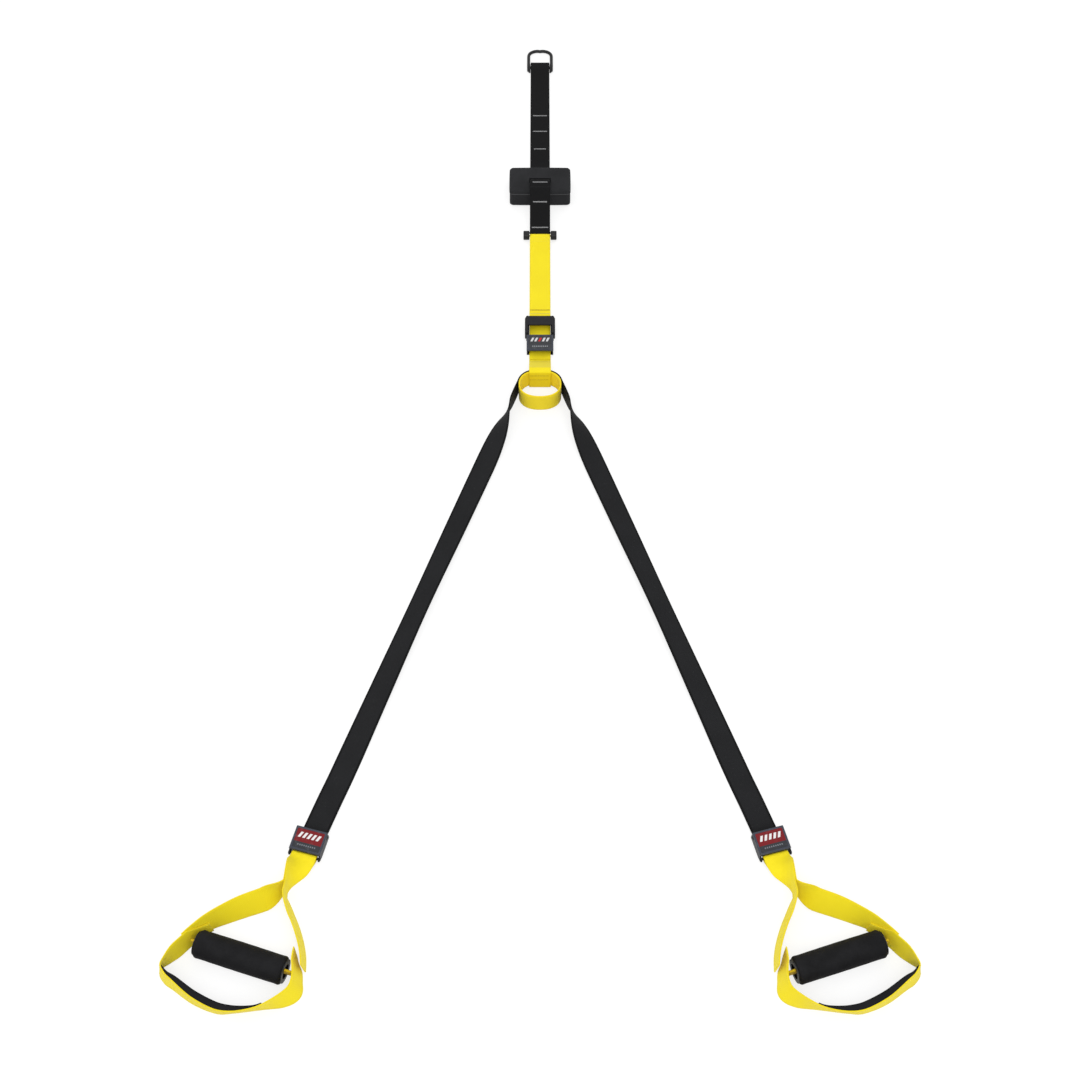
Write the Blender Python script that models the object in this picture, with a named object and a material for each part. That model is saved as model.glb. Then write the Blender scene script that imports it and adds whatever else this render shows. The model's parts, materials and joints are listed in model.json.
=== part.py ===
# Suspension trainer laid out on the floor: anchor end toward +Y, handles toward -Y
# Metres, +Z up, the floor is z = 0
from math import atan, atan2, cos, hypot, pi, radians, sin, tan

import bmesh
import bpy
from mathutils import Matrix, Vector

# Webbing that every strap is cut from
web_width = 0.038
web_thick = 0.0018
layer_gap = 0.0004
fit = 0.0003
half_web = web_width / 2
half_thick = web_thick / 2
layer_pitch = web_thick + layer_gap

# Anchor ring: an arched steel wire
ring_wire = 0.0050
ring_width = 0.0540
ring_length = 0.0600
ring_chamfer = 0.0044
ring_arch = 0.0220
ring_arch_steps = 16

# Anchor strap: one band folded round both ends, its layers sewn together
anchor_length = 0.4553
anchor_loose_end = 0.0090
loop_taper = 0.0350
loop_steps = 8

# Shares of the run and of the climb from the link to the pad
anchor_rise_shares = ((0.30, 0.15), (0.70, 0.66))

# Door pad: fabric cover round a foam block, the strap runs in at its back and out of its top
pad_width = 0.1150
pad_depth = 0.0690
pad_height = 0.0380
pad_edge = 0.0040
pad_edge_steps = 3
pad_cover_wall = 0.0016
pad_distance = 0.1165
pad_entry_height = 0.0160
pad_slit_forward = 0.0400
pad_fall_run = 0.0450
slit_margin = 0.0012

# Connector link: two steel pins between two round knobs
link_pin_radius = 0.0015
link_width = 0.0400
link_offset = 0.0014
knob_radius = 0.0084
knob_length = 0.0110
knob_wall = 0.0018
knob_bevel = 0.0012

# Straps along the middle
upper_length = 0.2081
upper_sag_height = 0.0068
upper_sag_shares = (0.00, 0.12, 0.30, 0.70, 0.88, 1.00)
tail_length = 0.1500
seam_forward = 0.0275
sling_run = 0.0490
sling_return_gap = 0.0035
sling_lead = 0.0030
sling_bend = 0.0012

# Cam buckles: frame, lever plate with cam, pins
plate_width = 0.0476
plate_length = 0.0360
plate_thick = 0.0028
plate_bevel = 0.0008
plate_clear = 0.0007
wall_inner = 0.0216
wall_outer = 0.0235
wall_height = 0.0148
wall_lift = 0.0004
base_lift = 0.0007
base_thick = 0.0013
base_back = 0.0160
base_front = 0.0140
strap_clear = 0.0005
pivot_back = 0.0130
pivot_height = 0.0100
pivot_radius = 0.0015
pivot_lug = 0.0048
hub_radius = 0.0040
hub_half = 0.0155
nose_forward = 0.0035
neck_forward = 0.0080
neck_drop = 0.0025
bar_radius = 0.0020
bar_forward = 0.0205
bar_height = 0.0088
foot_lug = 0.0040
foot_turn = radians(60)
weld = 0.0008
top_bar_back = 0.05475
top_bar_height = 0.0095
hood_back = 0.06125
hood_length = 0.0205
hood_thick = 0.0028
hood_lift = 0.0155
ear_outer = 0.0270
ear_front = 0.02275
ear_neck = 0.0240
ear_shoulder = 0.0065
spring_wire = 0.0008
spring_turns = 3
spring_pitch = 0.00128
spring_radius = 0.0026
spring_steps = 12

# Stabiliser ring: a webbing band on edge in the sling
band_width = 0.0740
band_depth = 0.0570
band_wall = 0.0028
band_power = 2.3
band_steps = 48

# Leg straps: on edge at the ring, twisted flat, level where they run through the buckle
leg_splay = radians(19.9)
leg_length = 0.8760
leg_tail = 0.0100
leg_lead = 0.0040
leg_twist_run = 0.1900
leg_level_run = 0.0620
leg_rise_run = 0.0500
buckle_skew = radians(5.0)

# Shares of the twist run and of a quarter turn
leg_twist_shares = ((0.00, 0.00), (0.20, 0.02), (0.32, 0.28), (0.42, 0.50), (0.53, 0.69), (0.66, 0.83),
                    (0.80, 0.91), (1.00, 0.92))

# Shares of the rest of the leg and of a quarter turn
leg_roll_shares = ((0.18, 0.86), (0.43, 0.76), (0.70, 0.88), (0.88, 1.00), (1.00, 1.00))

# Handles
handle_width = 0.2000
handle_length = 0.2220
pinch_lift = 0.0048
bar_taper_share = 0.35
grip_radius = 0.0200
grip_edge = 0.0030
tube_inner = 0.0112
tube_wall = 0.0020
cap_flange_radius = 0.0170
cap_flange = 0.0015
cap_bore = 0.0106
cap_spigot = 0.0080
grip_outer_clear = 0.0046
core_width = 0.0190
core_outer_clear = 0.0080
core_inner_clear = 0.0056
foot_pad_width = 0.0360
foot_pad_thick = 0.0105
foot_pad_edge = 0.0016

# Places across and down the handle from its bar, as shares of the handle's width and length
pinch_shares = (0.109, 0.249)
grip_end_shares = ((0.7137, 0.583), (0.0522, 0.7694))

# Across share, down share, lean in degrees and share of the pinch's lift
outer_branch_shares = ((0.175, 0.2819, 42, 1.0), (0.2799, 0.316, 42, 0.9), (0.4025, 0.3528, 38, 0.3),
                       (0.5211, 0.4007, 28, 0.0), (0.6296, 0.4536, 18, 0.0), (0.7197, 0.5212, 15, 0.0),
                       (0.7754, 0.5697, 13, 0.0))
inner_branch_shares = ((0.1051, 0.2821, -1.5, 1.0), (0.0867, 0.329, -7, 0.9),
                       (0.0524, 0.4017, -10.5, 0.4), (0.0148, 0.4714, -10, 0.0),
                       (-0.0268, 0.5681, -8.5, 0.0), (-0.0543, 0.6614, -6, 0.0),
                       (-0.065, 0.7497, -3, 0.0))
foot_strap_shares = ((0.6207, 0.4601, 18, 0.0), (0.712, 0.5285, 15, 0.0), (0.7658, 0.5752, 13, 0.0),
                     (0.8315, 0.6359, 13, 0.0), (0.8792, 0.6852, 3, 0.0), (0.9255, 0.7459, -11.5, 0.0),
                     (0.8906, 0.8054, -12, 0.0), (0.8269, 0.8504, -8.5, 0.0), (0.6788, 0.9465, -3, 0.0),
                     (0.5172, 1.01, 4, 0.0), (0.4045, 1.017, 11, 0.0), (0.2861, 1.005, 11, 0.0),
                     (0.1869, 0.985, 4.5, 0.0), (0.0632, 0.9451, -14.5, 0.0),
                     (-0.0159, 0.892, -23.5, 0.0), (-0.0287, 0.8135, -16, 0.0),
                     (-0.0228, 0.7579, -14.5, 0.0), (-0.0063, 0.704, -8, 0.0),
                     (0.0022, 0.6361, 2.5, 0.0))
foot_pad_span = (5, 12)

# Section of the foot pad: shares of half its width and of its thickness
foot_pad_shares = ((-1.0, 0.0), (1.0, 0.0), (1.0, 0.55), (0.86, 0.86), (0.5, 1.0), (-0.5, 1.0), (-0.86, 0.86),
                   (-1.0, 0.55))

# Middle of the handle's loop, across and down
loop_middle_shares = (0.45, 0.72)

# Mesh fineness
pin_sides = 20
grip_sides = 32
arc_steps = 4
span_steps = 4
tip_turns = (radians(30), radians(60))
smooth_angle = radians(40)
overrun = 0.0050

quarter = pi / 2
sides = (("left", -1), ("right", 1))

# Heights and places that follow from the sizes above
strap_height = base_lift + base_thick + strap_clear + half_thick
link_loop = link_pin_radius + fit + half_thick
pin_pitch = 2 * (link_loop + half_thick) + layer_gap
link_height = knob_radius
yellow_pin_y = -link_offset
black_pin_y = pin_pitch - link_offset
ring_loop = ring_wire / 2 + fit + half_thick
ring_bar_height = ring_loop + half_thick
ring_bar_y = black_pin_y + anchor_length
pad_back_y = pad_distance + pad_depth / 2
pad_front_y = pad_distance - pad_depth / 2
slit_y = pad_back_y - pad_slit_forward
double_half = (layer_pitch + web_thick) / 2
pad_top_height = pad_height + fit + double_half
top_bar_y = yellow_pin_y - upper_length
centre_plate_y = top_bar_y - top_bar_back
seam_y = centre_plate_y - seam_forward
wrap_y = seam_y - sling_run
band_y = wrap_y - web_thick - layer_gap - band_depth / 2
band_lift = web_thick + 2 * fit
buckle_yaw = leg_splay - buckle_skew


# Scene and materials

def clear_scene():
    for old in list(bpy.data.objects):
        bpy.data.objects.remove(old, do_unlink=True)


def finish(name, color, roughness, metallic=0.0):
    made = bpy.data.materials.new(name)
    made.use_nodes = True
    shader = made.node_tree.nodes["Principled BSDF"]
    shader.inputs["Base Color"].default_value = (*color, 1.0)
    shader.inputs["Roughness"].default_value = roughness
    shader.inputs["Metallic"].default_value = metallic
    made.diffuse_color = (*color, 1.0)
    return made


# Placing: each pivot is an empty on its joint's axis

def pivot(name, matrix, parent=None):
    empty = bpy.data.objects.new(name, None)
    bpy.context.collection.objects.link(empty)
    empty["world"] = [value for row in matrix for value in row]
    empty.parent = parent
    base = world_of(parent) if parent else Matrix()
    empty.matrix_local = base.inverted() @ matrix
    return empty


def world_of(empty):
    values = list(empty["world"])
    return Matrix([values[row:row + 4] for row in range(0, 16, 4)])


def at(x, y, z, turn=0.0):
    return Matrix.Translation((x, y, z)) @ Matrix.Rotation(turn, 4, "Z")


def put(piece, name, home, look, frame=Matrix()):
    piece.name = name
    piece.data.name = name
    piece.data.transform(world_of(home).inverted() @ frame)
    piece.parent = home
    piece.data.materials.clear()
    piece.data.materials.append(look)
    return piece


# Mesh tools

def mesh_piece(points, faces, smooth=False):
    mesh = bpy.data.meshes.new("piece")
    mesh.from_pydata([tuple(point) for point in points], [], faces)
    work = bmesh.new()
    work.from_mesh(mesh)
    bmesh.ops.recalc_face_normals(work, faces=work.faces)
    work.to_mesh(mesh)
    work.free()
    if smooth:
        mesh.shade_smooth()
        mesh.set_sharp_from_angle(angle=smooth_angle)
    piece = bpy.data.objects.new("piece", mesh)
    bpy.context.collection.objects.link(piece)
    return piece


def prism(outline, low, high, axis="x", smooth=False):
    count = len(outline)
    if axis == "x":
        points = [(end, a, b) for end in (low, high) for a, b in outline]
    else:
        points = [(a, b, end) for end in (low, high) for a, b in outline]
    faces = [list(range(count)), list(range(count, 2 * count))]
    for i in range(count):
        j = (i + 1) % count
        faces.append([i, j, count + j, count + i])
    return mesh_piece(points, faces, smooth)


def block(x_low, x_high, y_low, y_high, z_low, z_high):
    outline = [(y_low, z_low), (y_high, z_low), (y_high, z_high), (y_low, z_high)]
    return prism(outline, x_low, x_high)


def arc(centre_a, centre_b, radius, start, end, steps):
    turns = [start + (end - start) * i / steps for i in range(steps + 1)]
    return [(centre_a + radius * cos(turn), centre_b + radius * sin(turn)) for turn in turns]


def rod(radius, low, high, y, z, count=pin_sides):
    outline = arc(y, z, radius, 0, 2 * pi, count)[:-1]
    return prism(outline, low, high, smooth=True)


def turned(profile, count):
    points = []
    for along, radius in profile:
        for i in range(count):
            turn = 2 * pi * i / count
            points.append((along, radius * cos(turn), radius * sin(turn)))
    rows = len(profile)
    faces = []
    for row in range(rows):
        after = (row + 1) % rows
        for i in range(count):
            j = (i + 1) % count
            faces.append([row * count + i, row * count + j, after * count + j, after * count + i])
    return mesh_piece(points, faces, smooth=True)


def settled(piece):
    graph = bpy.context.evaluated_depsgraph_get()
    mesh = bpy.data.meshes.new_from_object(piece.evaluated_get(graph))
    piece.modifiers.clear()
    piece.data = mesh
    return piece


def combine(piece, tool, operation):
    cut = piece.modifiers.new("combine", "BOOLEAN")
    cut.operation = operation
    cut.object = tool
    cut.solver = "EXACT"
    settled(piece)
    bpy.data.objects.remove(tool, do_unlink=True)
    return piece


def rounded(piece, width, segments):
    edge = piece.modifiers.new("edge", "BEVEL")
    edge.width = width
    edge.segments = segments
    edge.limit_method = "ANGLE"
    edge.harden_normals = False
    return settled(piece)


def halves(points, quad):
    a, b, c, d = quad
    if (points[a] - points[c]).length <= (points[b] - points[d]).length:
        return [[a, b, c], [a, c, d]]
    return [[a, b, d], [b, c, d]]


def sweep(sections, closed=False):
    count = len(sections[0])
    points = [point for section in sections for point in section]
    rows = len(sections)
    faces = []
    for row in range(rows if closed else rows - 1):
        after = (row + 1) % rows
        for i in range(count):
            j = (i + 1) % count
            faces += halves(points, [row * count + i, row * count + j, after * count + j, after * count + i])
    if not closed:
        faces.append(list(range(count)))
        faces.append([(rows - 1) * count + i for i in range(count)])
    return mesh_piece(points, faces, smooth=True)


def band_section(centre, across, normal, width=web_width, thick=web_thick):
    a = across * (width / 2)
    n = normal * (thick / 2)
    return [centre - a - n, centre + a - n, centre + a + n, centre - a + n]


def smooth_run(stations, steps):
    run = []
    last = len(stations) - 1
    for i in range(last):
        p0, p1, p2, p3 = (stations[max(0, min(last, k))] for k in (i - 1, i, i + 1, i + 2))
        for step in range(steps):
            t = step / steps
            run.append(tuple(0.5 * (2 * b + (c - a) * t + (2 * a - 5 * b + 4 * c - d) * t * t
                                    + (3 * b - a - 3 * c + d) * t ** 3)
                             for a, b, c, d in zip(p0, p1, p2, p3)))
    run.append(tuple(stations[last]))
    return run


def ease(share):
    share = max(0.0, min(1.0, share))
    return share * share * (3 - 2 * share)


def side_profile_normals(path, closed):
    normals = []
    last = len(path) - 1
    for i in range(len(path)):
        before = path[i - 1] if (closed or i > 0) else path[0]
        after = path[(i + 1) % len(path)] if (closed or i < last) else path[last]
        dy = after[0] - before[0]
        dz = after[1] - before[1]
        size = hypot(dy, dz)
        normals.append((-dz / size, dy / size))
    return normals


def middle_strap(path, closed=False):
    across = Vector((1, 0, 0))
    sections = []
    for (y, z), (ny, nz) in zip(path, side_profile_normals(path, closed)):
        sections.append(band_section(Vector((0, y, z)), across, Vector((0, ny, nz))))
    return sweep(sections, closed)


def looped_path(base, start_radius, end_radius, loose_end=0.0):
    normals = side_profile_normals(base, False)
    lengths = [0.0]
    for a, b in zip(base, base[1:]):
        lengths.append(lengths[-1] + hypot(b[0] - a[0], b[1] - a[1]))
    total = lengths[-1]
    upper, lower = [], []
    for (y, z), (ny, nz), done in zip(base, normals, lengths):
        spread = layer_pitch / 2
        spread += (start_radius - spread) * (1 - ease((done - start_radius) / loop_taper))
        spread += (end_radius - spread) * (1 - ease((total - done - loose_end) / loop_taper))
        z = max(z, spread + half_thick)
        upper.append((y + ny * spread, z + nz * spread))
        lower.append((y - ny * spread, z - nz * spread))
    end_turn = atan2(normals[-1][1], normals[-1][0])
    end_arc = arc(base[-1][0], base[-1][1], end_radius, end_turn, end_turn - pi, loop_steps)[1:-1]
    start_turn = atan2(-normals[0][1], -normals[0][0])
    start_arc = arc(base[0][0], base[0][1], start_radius, start_turn, start_turn - pi, loop_steps)[1:-1]
    return upper + end_arc + lower[::-1] + start_arc


# Anchor end

def anchor_base():
    rise = pad_front_y - black_pin_y
    climb = pad_top_height - link_height
    inside = (pad_height - pad_entry_height) / (pad_back_y - slit_y)
    stations = [
        (black_pin_y, link_height),
        *((black_pin_y + rise * along, link_height + climb * up) for along, up in anchor_rise_shares),
        (pad_front_y + pad_edge * 0.5, pad_top_height + fit),
        (pad_front_y + pad_edge * 3, pad_top_height),
        (slit_y - pad_edge * 1.3, pad_top_height),
        (slit_y + pad_edge, pad_height - inside * pad_edge),
        (pad_back_y - pad_edge, pad_entry_height + inside * pad_edge),
        (pad_back_y + pad_edge, pad_entry_height - inside * pad_edge * 0.8),
        (pad_back_y + pad_fall_run * 0.5, pad_entry_height * 0.35),
        (pad_back_y + pad_fall_run, double_half),
        (pad_back_y + pad_fall_run * 2, double_half),
        ((pad_back_y + ring_bar_y) / 2, double_half),
        (ring_bar_y - loop_taper * 1.6, double_half),
        (ring_bar_y - loop_taper * 0.5, (double_half + ring_bar_height) / 2),
        (ring_bar_y, ring_bar_height),
        (ring_bar_y + anchor_loose_end, ring_bar_height),
    ]
    return smooth_run(stations, span_steps)


def anchor_strap(home, look):
    path = looped_path(anchor_base(), link_loop, ring_loop, anchor_loose_end)
    piece = middle_strap(path, closed=True)
    return put(piece, "anchor_strap", home, look)


def anchor_ring(home, look):
    top = ring_length - ring_wire
    half = (ring_width - ring_wire) / 2
    tilt = (ring_bar_height - ring_wire / 2) / top
    outline = [(-half + ring_chamfer, 0.0), (half - ring_chamfer, 0.0), (half, ring_chamfer)]
    for i in range(ring_arch_steps + 1):
        turn = pi * i / ring_arch_steps
        outline.append((half * cos(turn), top - ring_arch + ring_arch * sin(turn)))
    outline.append((-half, ring_chamfer))
    curve = bpy.data.curves.new("ring", "CURVE")
    curve.dimensions = "3D"
    curve.bevel_depth = ring_wire / 2
    curve.bevel_resolution = 2
    line = curve.splines.new("POLY")
    line.points.add(len(outline) - 1)
    line.use_cyclic_u = True
    for point, (x, along) in zip(line.points, outline):
        point.co = (x, ring_bar_y + along, ring_bar_height - tilt * along, 1.0)
    piece = bpy.data.objects.new("ring", curve)
    bpy.context.collection.objects.link(piece)
    return put(piece, "anchor_ring", home, look)


def pad_tunnel(margin):
    start = Vector((0, pad_back_y, pad_entry_height))
    end = Vector((0, slit_y, pad_height))
    along = (end - start).normalized()
    normal = Vector((0, -along.z, along.y))
    reach = along * (pad_edge * 4)
    width = web_width + 2 * margin
    thick = 2 * double_half + 2 * margin
    across = Vector((1, 0, 0))
    ends = (start - reach, end + reach)
    return sweep([band_section(spot, across, normal, width, thick) for spot in ends])


def pad_box(inset):
    half = pad_width / 2 - inset
    return block(-half, half, pad_front_y + inset, pad_back_y - inset, inset, pad_height - inset)


def door_pad(home, cover_look, foam_look):
    cover = rounded(pad_box(0.0), pad_edge, pad_edge_steps)
    combine(cover, pad_box(pad_cover_wall), "DIFFERENCE")
    combine(cover, pad_tunnel(slit_margin), "DIFFERENCE")
    put(cover, "door_pad_cover", home, cover_look)
    foam = pad_box(pad_cover_wall + fit)
    combine(foam, pad_tunnel(slit_margin + fit), "DIFFERENCE")
    put(foam, "door_pad_foam", home, foam_look)


# Connector link

def link(home, steel, plastic):
    inner = link_width / 2
    reach = inner + knob_length - knob_wall
    places = (("link_pin_black", black_pin_y), ("link_pin_yellow", yellow_pin_y))
    for name, y in places:
        put(rod(link_pin_radius, -reach + fit, reach - fit, y, link_height), name, home, steel)
    for side_name, side in sides:
        ends = sorted((side * inner, side * (inner + knob_length)))
        outline = arc(0, link_height, knob_radius, 0, 2 * pi, pin_sides)[:-1]
        knob = rounded(prism(outline, *ends, smooth=True), knob_bevel, 2)
        for name, y in places:
            hole_ends = sorted((side * (inner - overrun), side * reach))
            combine(knob, rod(link_pin_radius + fit, *hole_ends, y, link_height), "DIFFERENCE")
        put(knob, "link_knob_" + side_name, home, plastic)


# Straps along the middle

def upper_strap(home, look):
    heights = (link_height, (link_height + upper_sag_height) / 2, upper_sag_height, upper_sag_height,
               (top_bar_height + upper_sag_height) / 2, top_bar_height)
    stations = [(yellow_pin_y - upper_length * share, z) for share, z in zip(upper_sag_shares, heights)]
    base = smooth_run(stations, span_steps)
    piece = middle_strap(looped_path(base, link_loop, bar_radius + fit + half_thick), closed=True)
    return put(piece, "upper_main_strap", home, look)


def lower_strap(home, look):
    low = strap_height - half_thick
    front = seam_y + half_thick + fit
    piece = block(-half_web, half_web, front, top_bar_y + tail_length, low, low + web_thick)
    return put(piece, "lower_main_strap", home, look)


def sling(home, look):
    band_top = band_lift + web_width
    reach = 2 * fit + half_thick
    bow = band_depth / 2 * (1 - (1 - (web_width / band_width) ** band_power) ** (1 / band_power))
    outer_y = wrap_y
    inner_y = wrap_y - web_thick - layer_gap - band_wall - bow
    slope = atan2(band_top - strap_height, seam_y - outer_y)
    path = [(seam_y, strap_height), (seam_y - sling_lead, strap_height + fit)]
    path += arc(outer_y, band_top, reach, quarter - slope, quarter, arc_steps)
    path += arc(inner_y, band_top, reach, quarter, pi, arc_steps)
    turn_y = inner_y - reach + sling_bend
    path += arc(turn_y, half_thick + sling_bend, sling_bend, pi, pi + quarter, arc_steps)
    path.append((seam_y - sling_return_gap, half_thick))
    across = Vector((1, 0, 0))
    sections = []
    for (y, z), (ny, nz) in zip(path, side_profile_normals(path, False)):
        sections.append(band_section(Vector((0, y, z)), across, Vector((0, ny, nz))))
    tip = [band_section(Vector((0, seam_y + half_thick * cos(turn), strap_height)), across, Vector((0, 0, 1)),
                        web_width, web_thick * sin(turn)) for turn in tip_turns]
    sections[0] = band_section(Vector((0, seam_y, strap_height)), across, Vector((0, 0, 1)))
    return put(sweep(tip + sections), "sling_strap", home, look)


# Cam buckles, made about the plate's centre with +Y up the strap

def lever(look, name, home, frame):
    top = wall_height + plate_clear + plate_thick
    half = plate_length / 2
    plate = block(-plate_width / 2, plate_width / 2, -half, half, wall_height + plate_clear, top)
    rounded(plate, plate_bevel, 2)
    under = wall_height + plate_clear + plate_thick / 3
    nose_height = strap_height + half_thick + fit
    hub = arc(pivot_back, pivot_height, hub_radius, radians(60), radians(-90), 2 * arc_steps)
    hub += [(pivot_back - nose_forward, nose_height), (pivot_back - neck_forward, pivot_height - neck_drop)]
    hub += [(pivot_back - neck_forward, under), (pivot_back + hub_radius * 0.4, under)]
    combine(plate, prism(hub, -hub_half, hub_half), "UNION")
    bore = rod(pivot_radius + fit, -hub_half - overrun, hub_half + overrun, pivot_back, pivot_height)
    combine(plate, bore, "DIFFERENCE")
    return put(plate, name, home, look, frame)


def wall_outline(back, low_back):
    outline = [(back, wall_lift), (back, low_back)]
    outline += arc(pivot_back, pivot_height, pivot_lug, 0, quarter, arc_steps)
    outline += [(-base_front, wall_height)]
    return outline


def bar_lug():
    outline = [(-plate_length / 2, wall_height)]
    outline += arc(-bar_forward, bar_height, foot_lug, quarter, pi + foot_turn, 2 * arc_steps)
    return outline


def frame_body(centre):
    if centre:
        outline = wall_outline(ear_front + ear_shoulder, pivot_height - weld)
    else:
        outline = wall_outline(pivot_back + pivot_lug, pivot_height - weld) + bar_lug()
    outline.append((-base_front, wall_lift))
    weld_x = wall_inner + weld
    body = block(-weld_x, weld_x, -base_front, base_back, base_lift, base_lift + base_thick)
    for _, side in sides:
        ends = sorted((side * wall_inner, side * wall_outer))
        combine(body, prism(outline, *ends), "UNION")
    return body


def ear(side):
    outline = [(side * (wall_inner - weld / 4), hood_back), (side * ear_neck, hood_back),
               (side * ear_outer, hood_back - ear_shoulder), (side * ear_outer, ear_front + weld),
               (side * (ear_outer - weld), ear_front), (side * (wall_inner - weld / 4), ear_front)]
    return prism(outline, wall_lift + weld / 4, hood_lift + hood_thick, axis="z")


def buckle_frame(look, name, home, frame, centre):
    body = frame_body(centre)
    if centre:
        for _, side in sides:
            combine(body, ear(side), "UNION")
        hood = block(-wall_inner - weld, wall_inner + weld, hood_back - hood_length, hood_back - weld / 4,
                     hood_lift, hood_lift + hood_thick - weld / 4)
        combine(body, hood, "UNION")
    reach = ear_outer + overrun
    combine(body, rod(pivot_radius + fit, -reach, reach, pivot_back, pivot_height), "DIFFERENCE")
    if centre:
        combine(body, rod(bar_radius + fit, -reach, reach, top_bar_back, top_bar_height), "DIFFERENCE")
    else:
        combine(body, rod(bar_radius + fit, -reach, reach, -bar_forward, bar_height), "DIFFERENCE")
    return put(body, name, home, look, frame)


def spring(look, name, home, frame):
    curve = bpy.data.curves.new("spring", "CURVE")
    curve.dimensions = "3D"
    curve.bevel_depth = spring_wire / 2
    curve.bevel_resolution = 1
    curve.use_fill_caps = True
    line = curve.splines.new("POLY")
    count = spring_turns * spring_steps + 1
    line.points.add(count - 1)
    start = hub_half + fit + spring_wire / 2
    for i, point in enumerate(line.points):
        turn = 2 * pi * i / spring_steps
        along = start + spring_pitch * i / spring_steps
        back, up = pivot_back + spring_radius * cos(turn), pivot_height + spring_radius * sin(turn)
        point.co = (along, back, up, 1.0)
    print(name, "gap between turns in mm", round((spring_pitch - spring_wire) * 1000, 2))
    piece = bpy.data.objects.new("spring", curve)
    bpy.context.collection.objects.link(piece)
    return put(piece, name, home, look, frame)


def buckle(prefix, plate_matrix, frame_home, lever_parent, looks, centre=False):
    lever_home = pivot(prefix + "_lever_pivot", plate_matrix @ at(0, pivot_back, pivot_height), lever_parent)
    buckle_frame(looks["casting"], prefix + "_frame", frame_home, plate_matrix, centre)
    lever(looks["plate"], prefix + "_lever", lever_home, plate_matrix)
    pin = rod(pivot_radius, -wall_outer + fit, wall_outer - fit, pivot_back, pivot_height)
    put(pin, prefix + "_pivot_pin", frame_home, looks["steel"], plate_matrix)
    spring(looks["steel"], prefix + "_spring", frame_home, plate_matrix)
    if centre:
        bar = rod(bar_radius, -ear_outer + fit, ear_outer - fit, top_bar_back, top_bar_height)
        put(bar, prefix + "_top_bar", frame_home, looks["steel"], plate_matrix)
    else:
        bar = rod(bar_radius, -wall_outer + fit, wall_outer - fit, -bar_forward, bar_height)
        put(bar, prefix + "_lower_bar", frame_home, looks["steel"], plate_matrix)


# Stabiliser ring and the leg strap round its back

def band_point(turn, offset):
    half_x = band_width / 2
    half_y = band_depth / 2
    c, s = cos(turn), sin(turn)
    x = half_x * abs(c) ** (2 / band_power) * (1 if c >= 0 else -1)
    y = half_y * abs(s) ** (2 / band_power) * (1 if s >= 0 else -1)
    nx = abs(x) ** (band_power - 1) / half_x ** band_power * (1 if x >= 0 else -1)
    ny = abs(y) ** (band_power - 1) / half_y ** band_power * (1 if y >= 0 else -1)
    size = hypot(nx, ny)
    return x + nx / size * offset, band_y + y + ny / size * offset


def ring_lift(y):
    front = band_y - band_depth / 2
    return band_lift * max(0.0, min(1.0, (y - front) / band_depth))


def upright_sections(path, closed=False):
    sections = []
    last = len(path) - 1
    for i, (x, y) in enumerate(path):
        before = path[i - 1] if (closed or i > 0) else path[0]
        after = path[(i + 1) % len(path)] if (closed or i < last) else path[last]
        along = Vector((after[0] - before[0], after[1] - before[1], 0)).normalized()
        sections.append((Vector((x, y, ring_lift(y) + half_web)), along.cross(Vector((0, 0, 1)))))
    return sections


def stabiliser_ring(home, look):
    path = [band_point(2 * pi * i / band_steps, -band_wall / 2) for i in range(band_steps)]
    up = Vector((0, 0, 1))
    sections = [band_section(centre, up, normal, web_width, band_wall)
                for centre, normal in upright_sections(path, closed=True)]
    return put(sweep(sections, closed=True), "stabiliser_ring", home, look)


def tangent_turn():
    ratio = band_depth / band_width * tan(leg_splay)
    return atan(ratio ** (band_power / (2 * (band_power - 1))))


def leg_start(side):
    x, y = band_point(tangent_turn(), layer_gap + half_thick)
    return Vector((side * (x + leg_lead * sin(leg_splay)), y - leg_lead * cos(leg_splay), 0))


def leg_direction(side):
    return Vector((side * sin(leg_splay), -cos(leg_splay), 0))


def leg_wrap(home, look):
    start = tangent_turn()
    steps = band_steps // 2
    path = []
    for i in range(steps + 1):
        path.append(band_point(start + (pi - 2 * start) * i / steps, layer_gap + half_thick))
    stop = leg_lead - half_thick - fit
    ends = []
    for side, edge in ((1, path[0]), (-1, path[-1])):
        along = leg_direction(side)
        ends.append((edge[0] + along.x * stop, edge[1] + along.y * stop))
    path = [ends[0], *path, ends[1]]
    up = Vector((0, 0, 1))
    sections = [band_section(centre, up, normal) for centre, normal in upright_sections(path)]
    return put(sweep(sections), "leg_strap_wrap", home, look)


# Leg straps

def leg_stations():
    level = leg_length - leg_level_run
    rest = level - leg_twist_run
    stations = [(leg_twist_run * a, b) for a, b in leg_twist_shares]
    stations += [(leg_twist_run + rest * a, b) for a, b in leg_roll_shares]
    return stations


def leg_strap(side_name, side, home, look):
    start = leg_start(side)
    along = leg_direction(side)
    outward = Vector((side * cos(leg_splay), sin(leg_splay), 0))
    start_lift = ring_lift(start.y)
    level = leg_length - leg_level_run
    run = smooth_run(leg_stations(), span_steps)
    run.append((leg_length + bar_forward + leg_tail, 1.0))
    sections = []
    up = Vector((0, 0, 1))
    for turn in tip_turns:
        centre = start - along * half_thick * cos(turn) + up * (start_lift + half_web)
        sections.append(band_section(centre, up, outward, web_width, web_thick * sin(turn)))
    for distance, share in run:
        lean = -quarter * min(1.0, share)
        across = up * cos(lean) + outward * sin(lean)
        normal = outward * cos(lean) - up * sin(lean)
        lift = start_lift * (1 - ease(distance / (leg_twist_run / 2)))
        lift += (strap_height - half_thick) * ease((distance - level + leg_rise_run) / leg_rise_run)
        height = lift + half_web * cos(lean) + half_thick * sin(-lean)
        centre = start + along * distance + up * height
        sections.append(band_section(centre, across, normal))
    return put(sweep(sections), "leg_strap_" + side_name, home, look)


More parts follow.
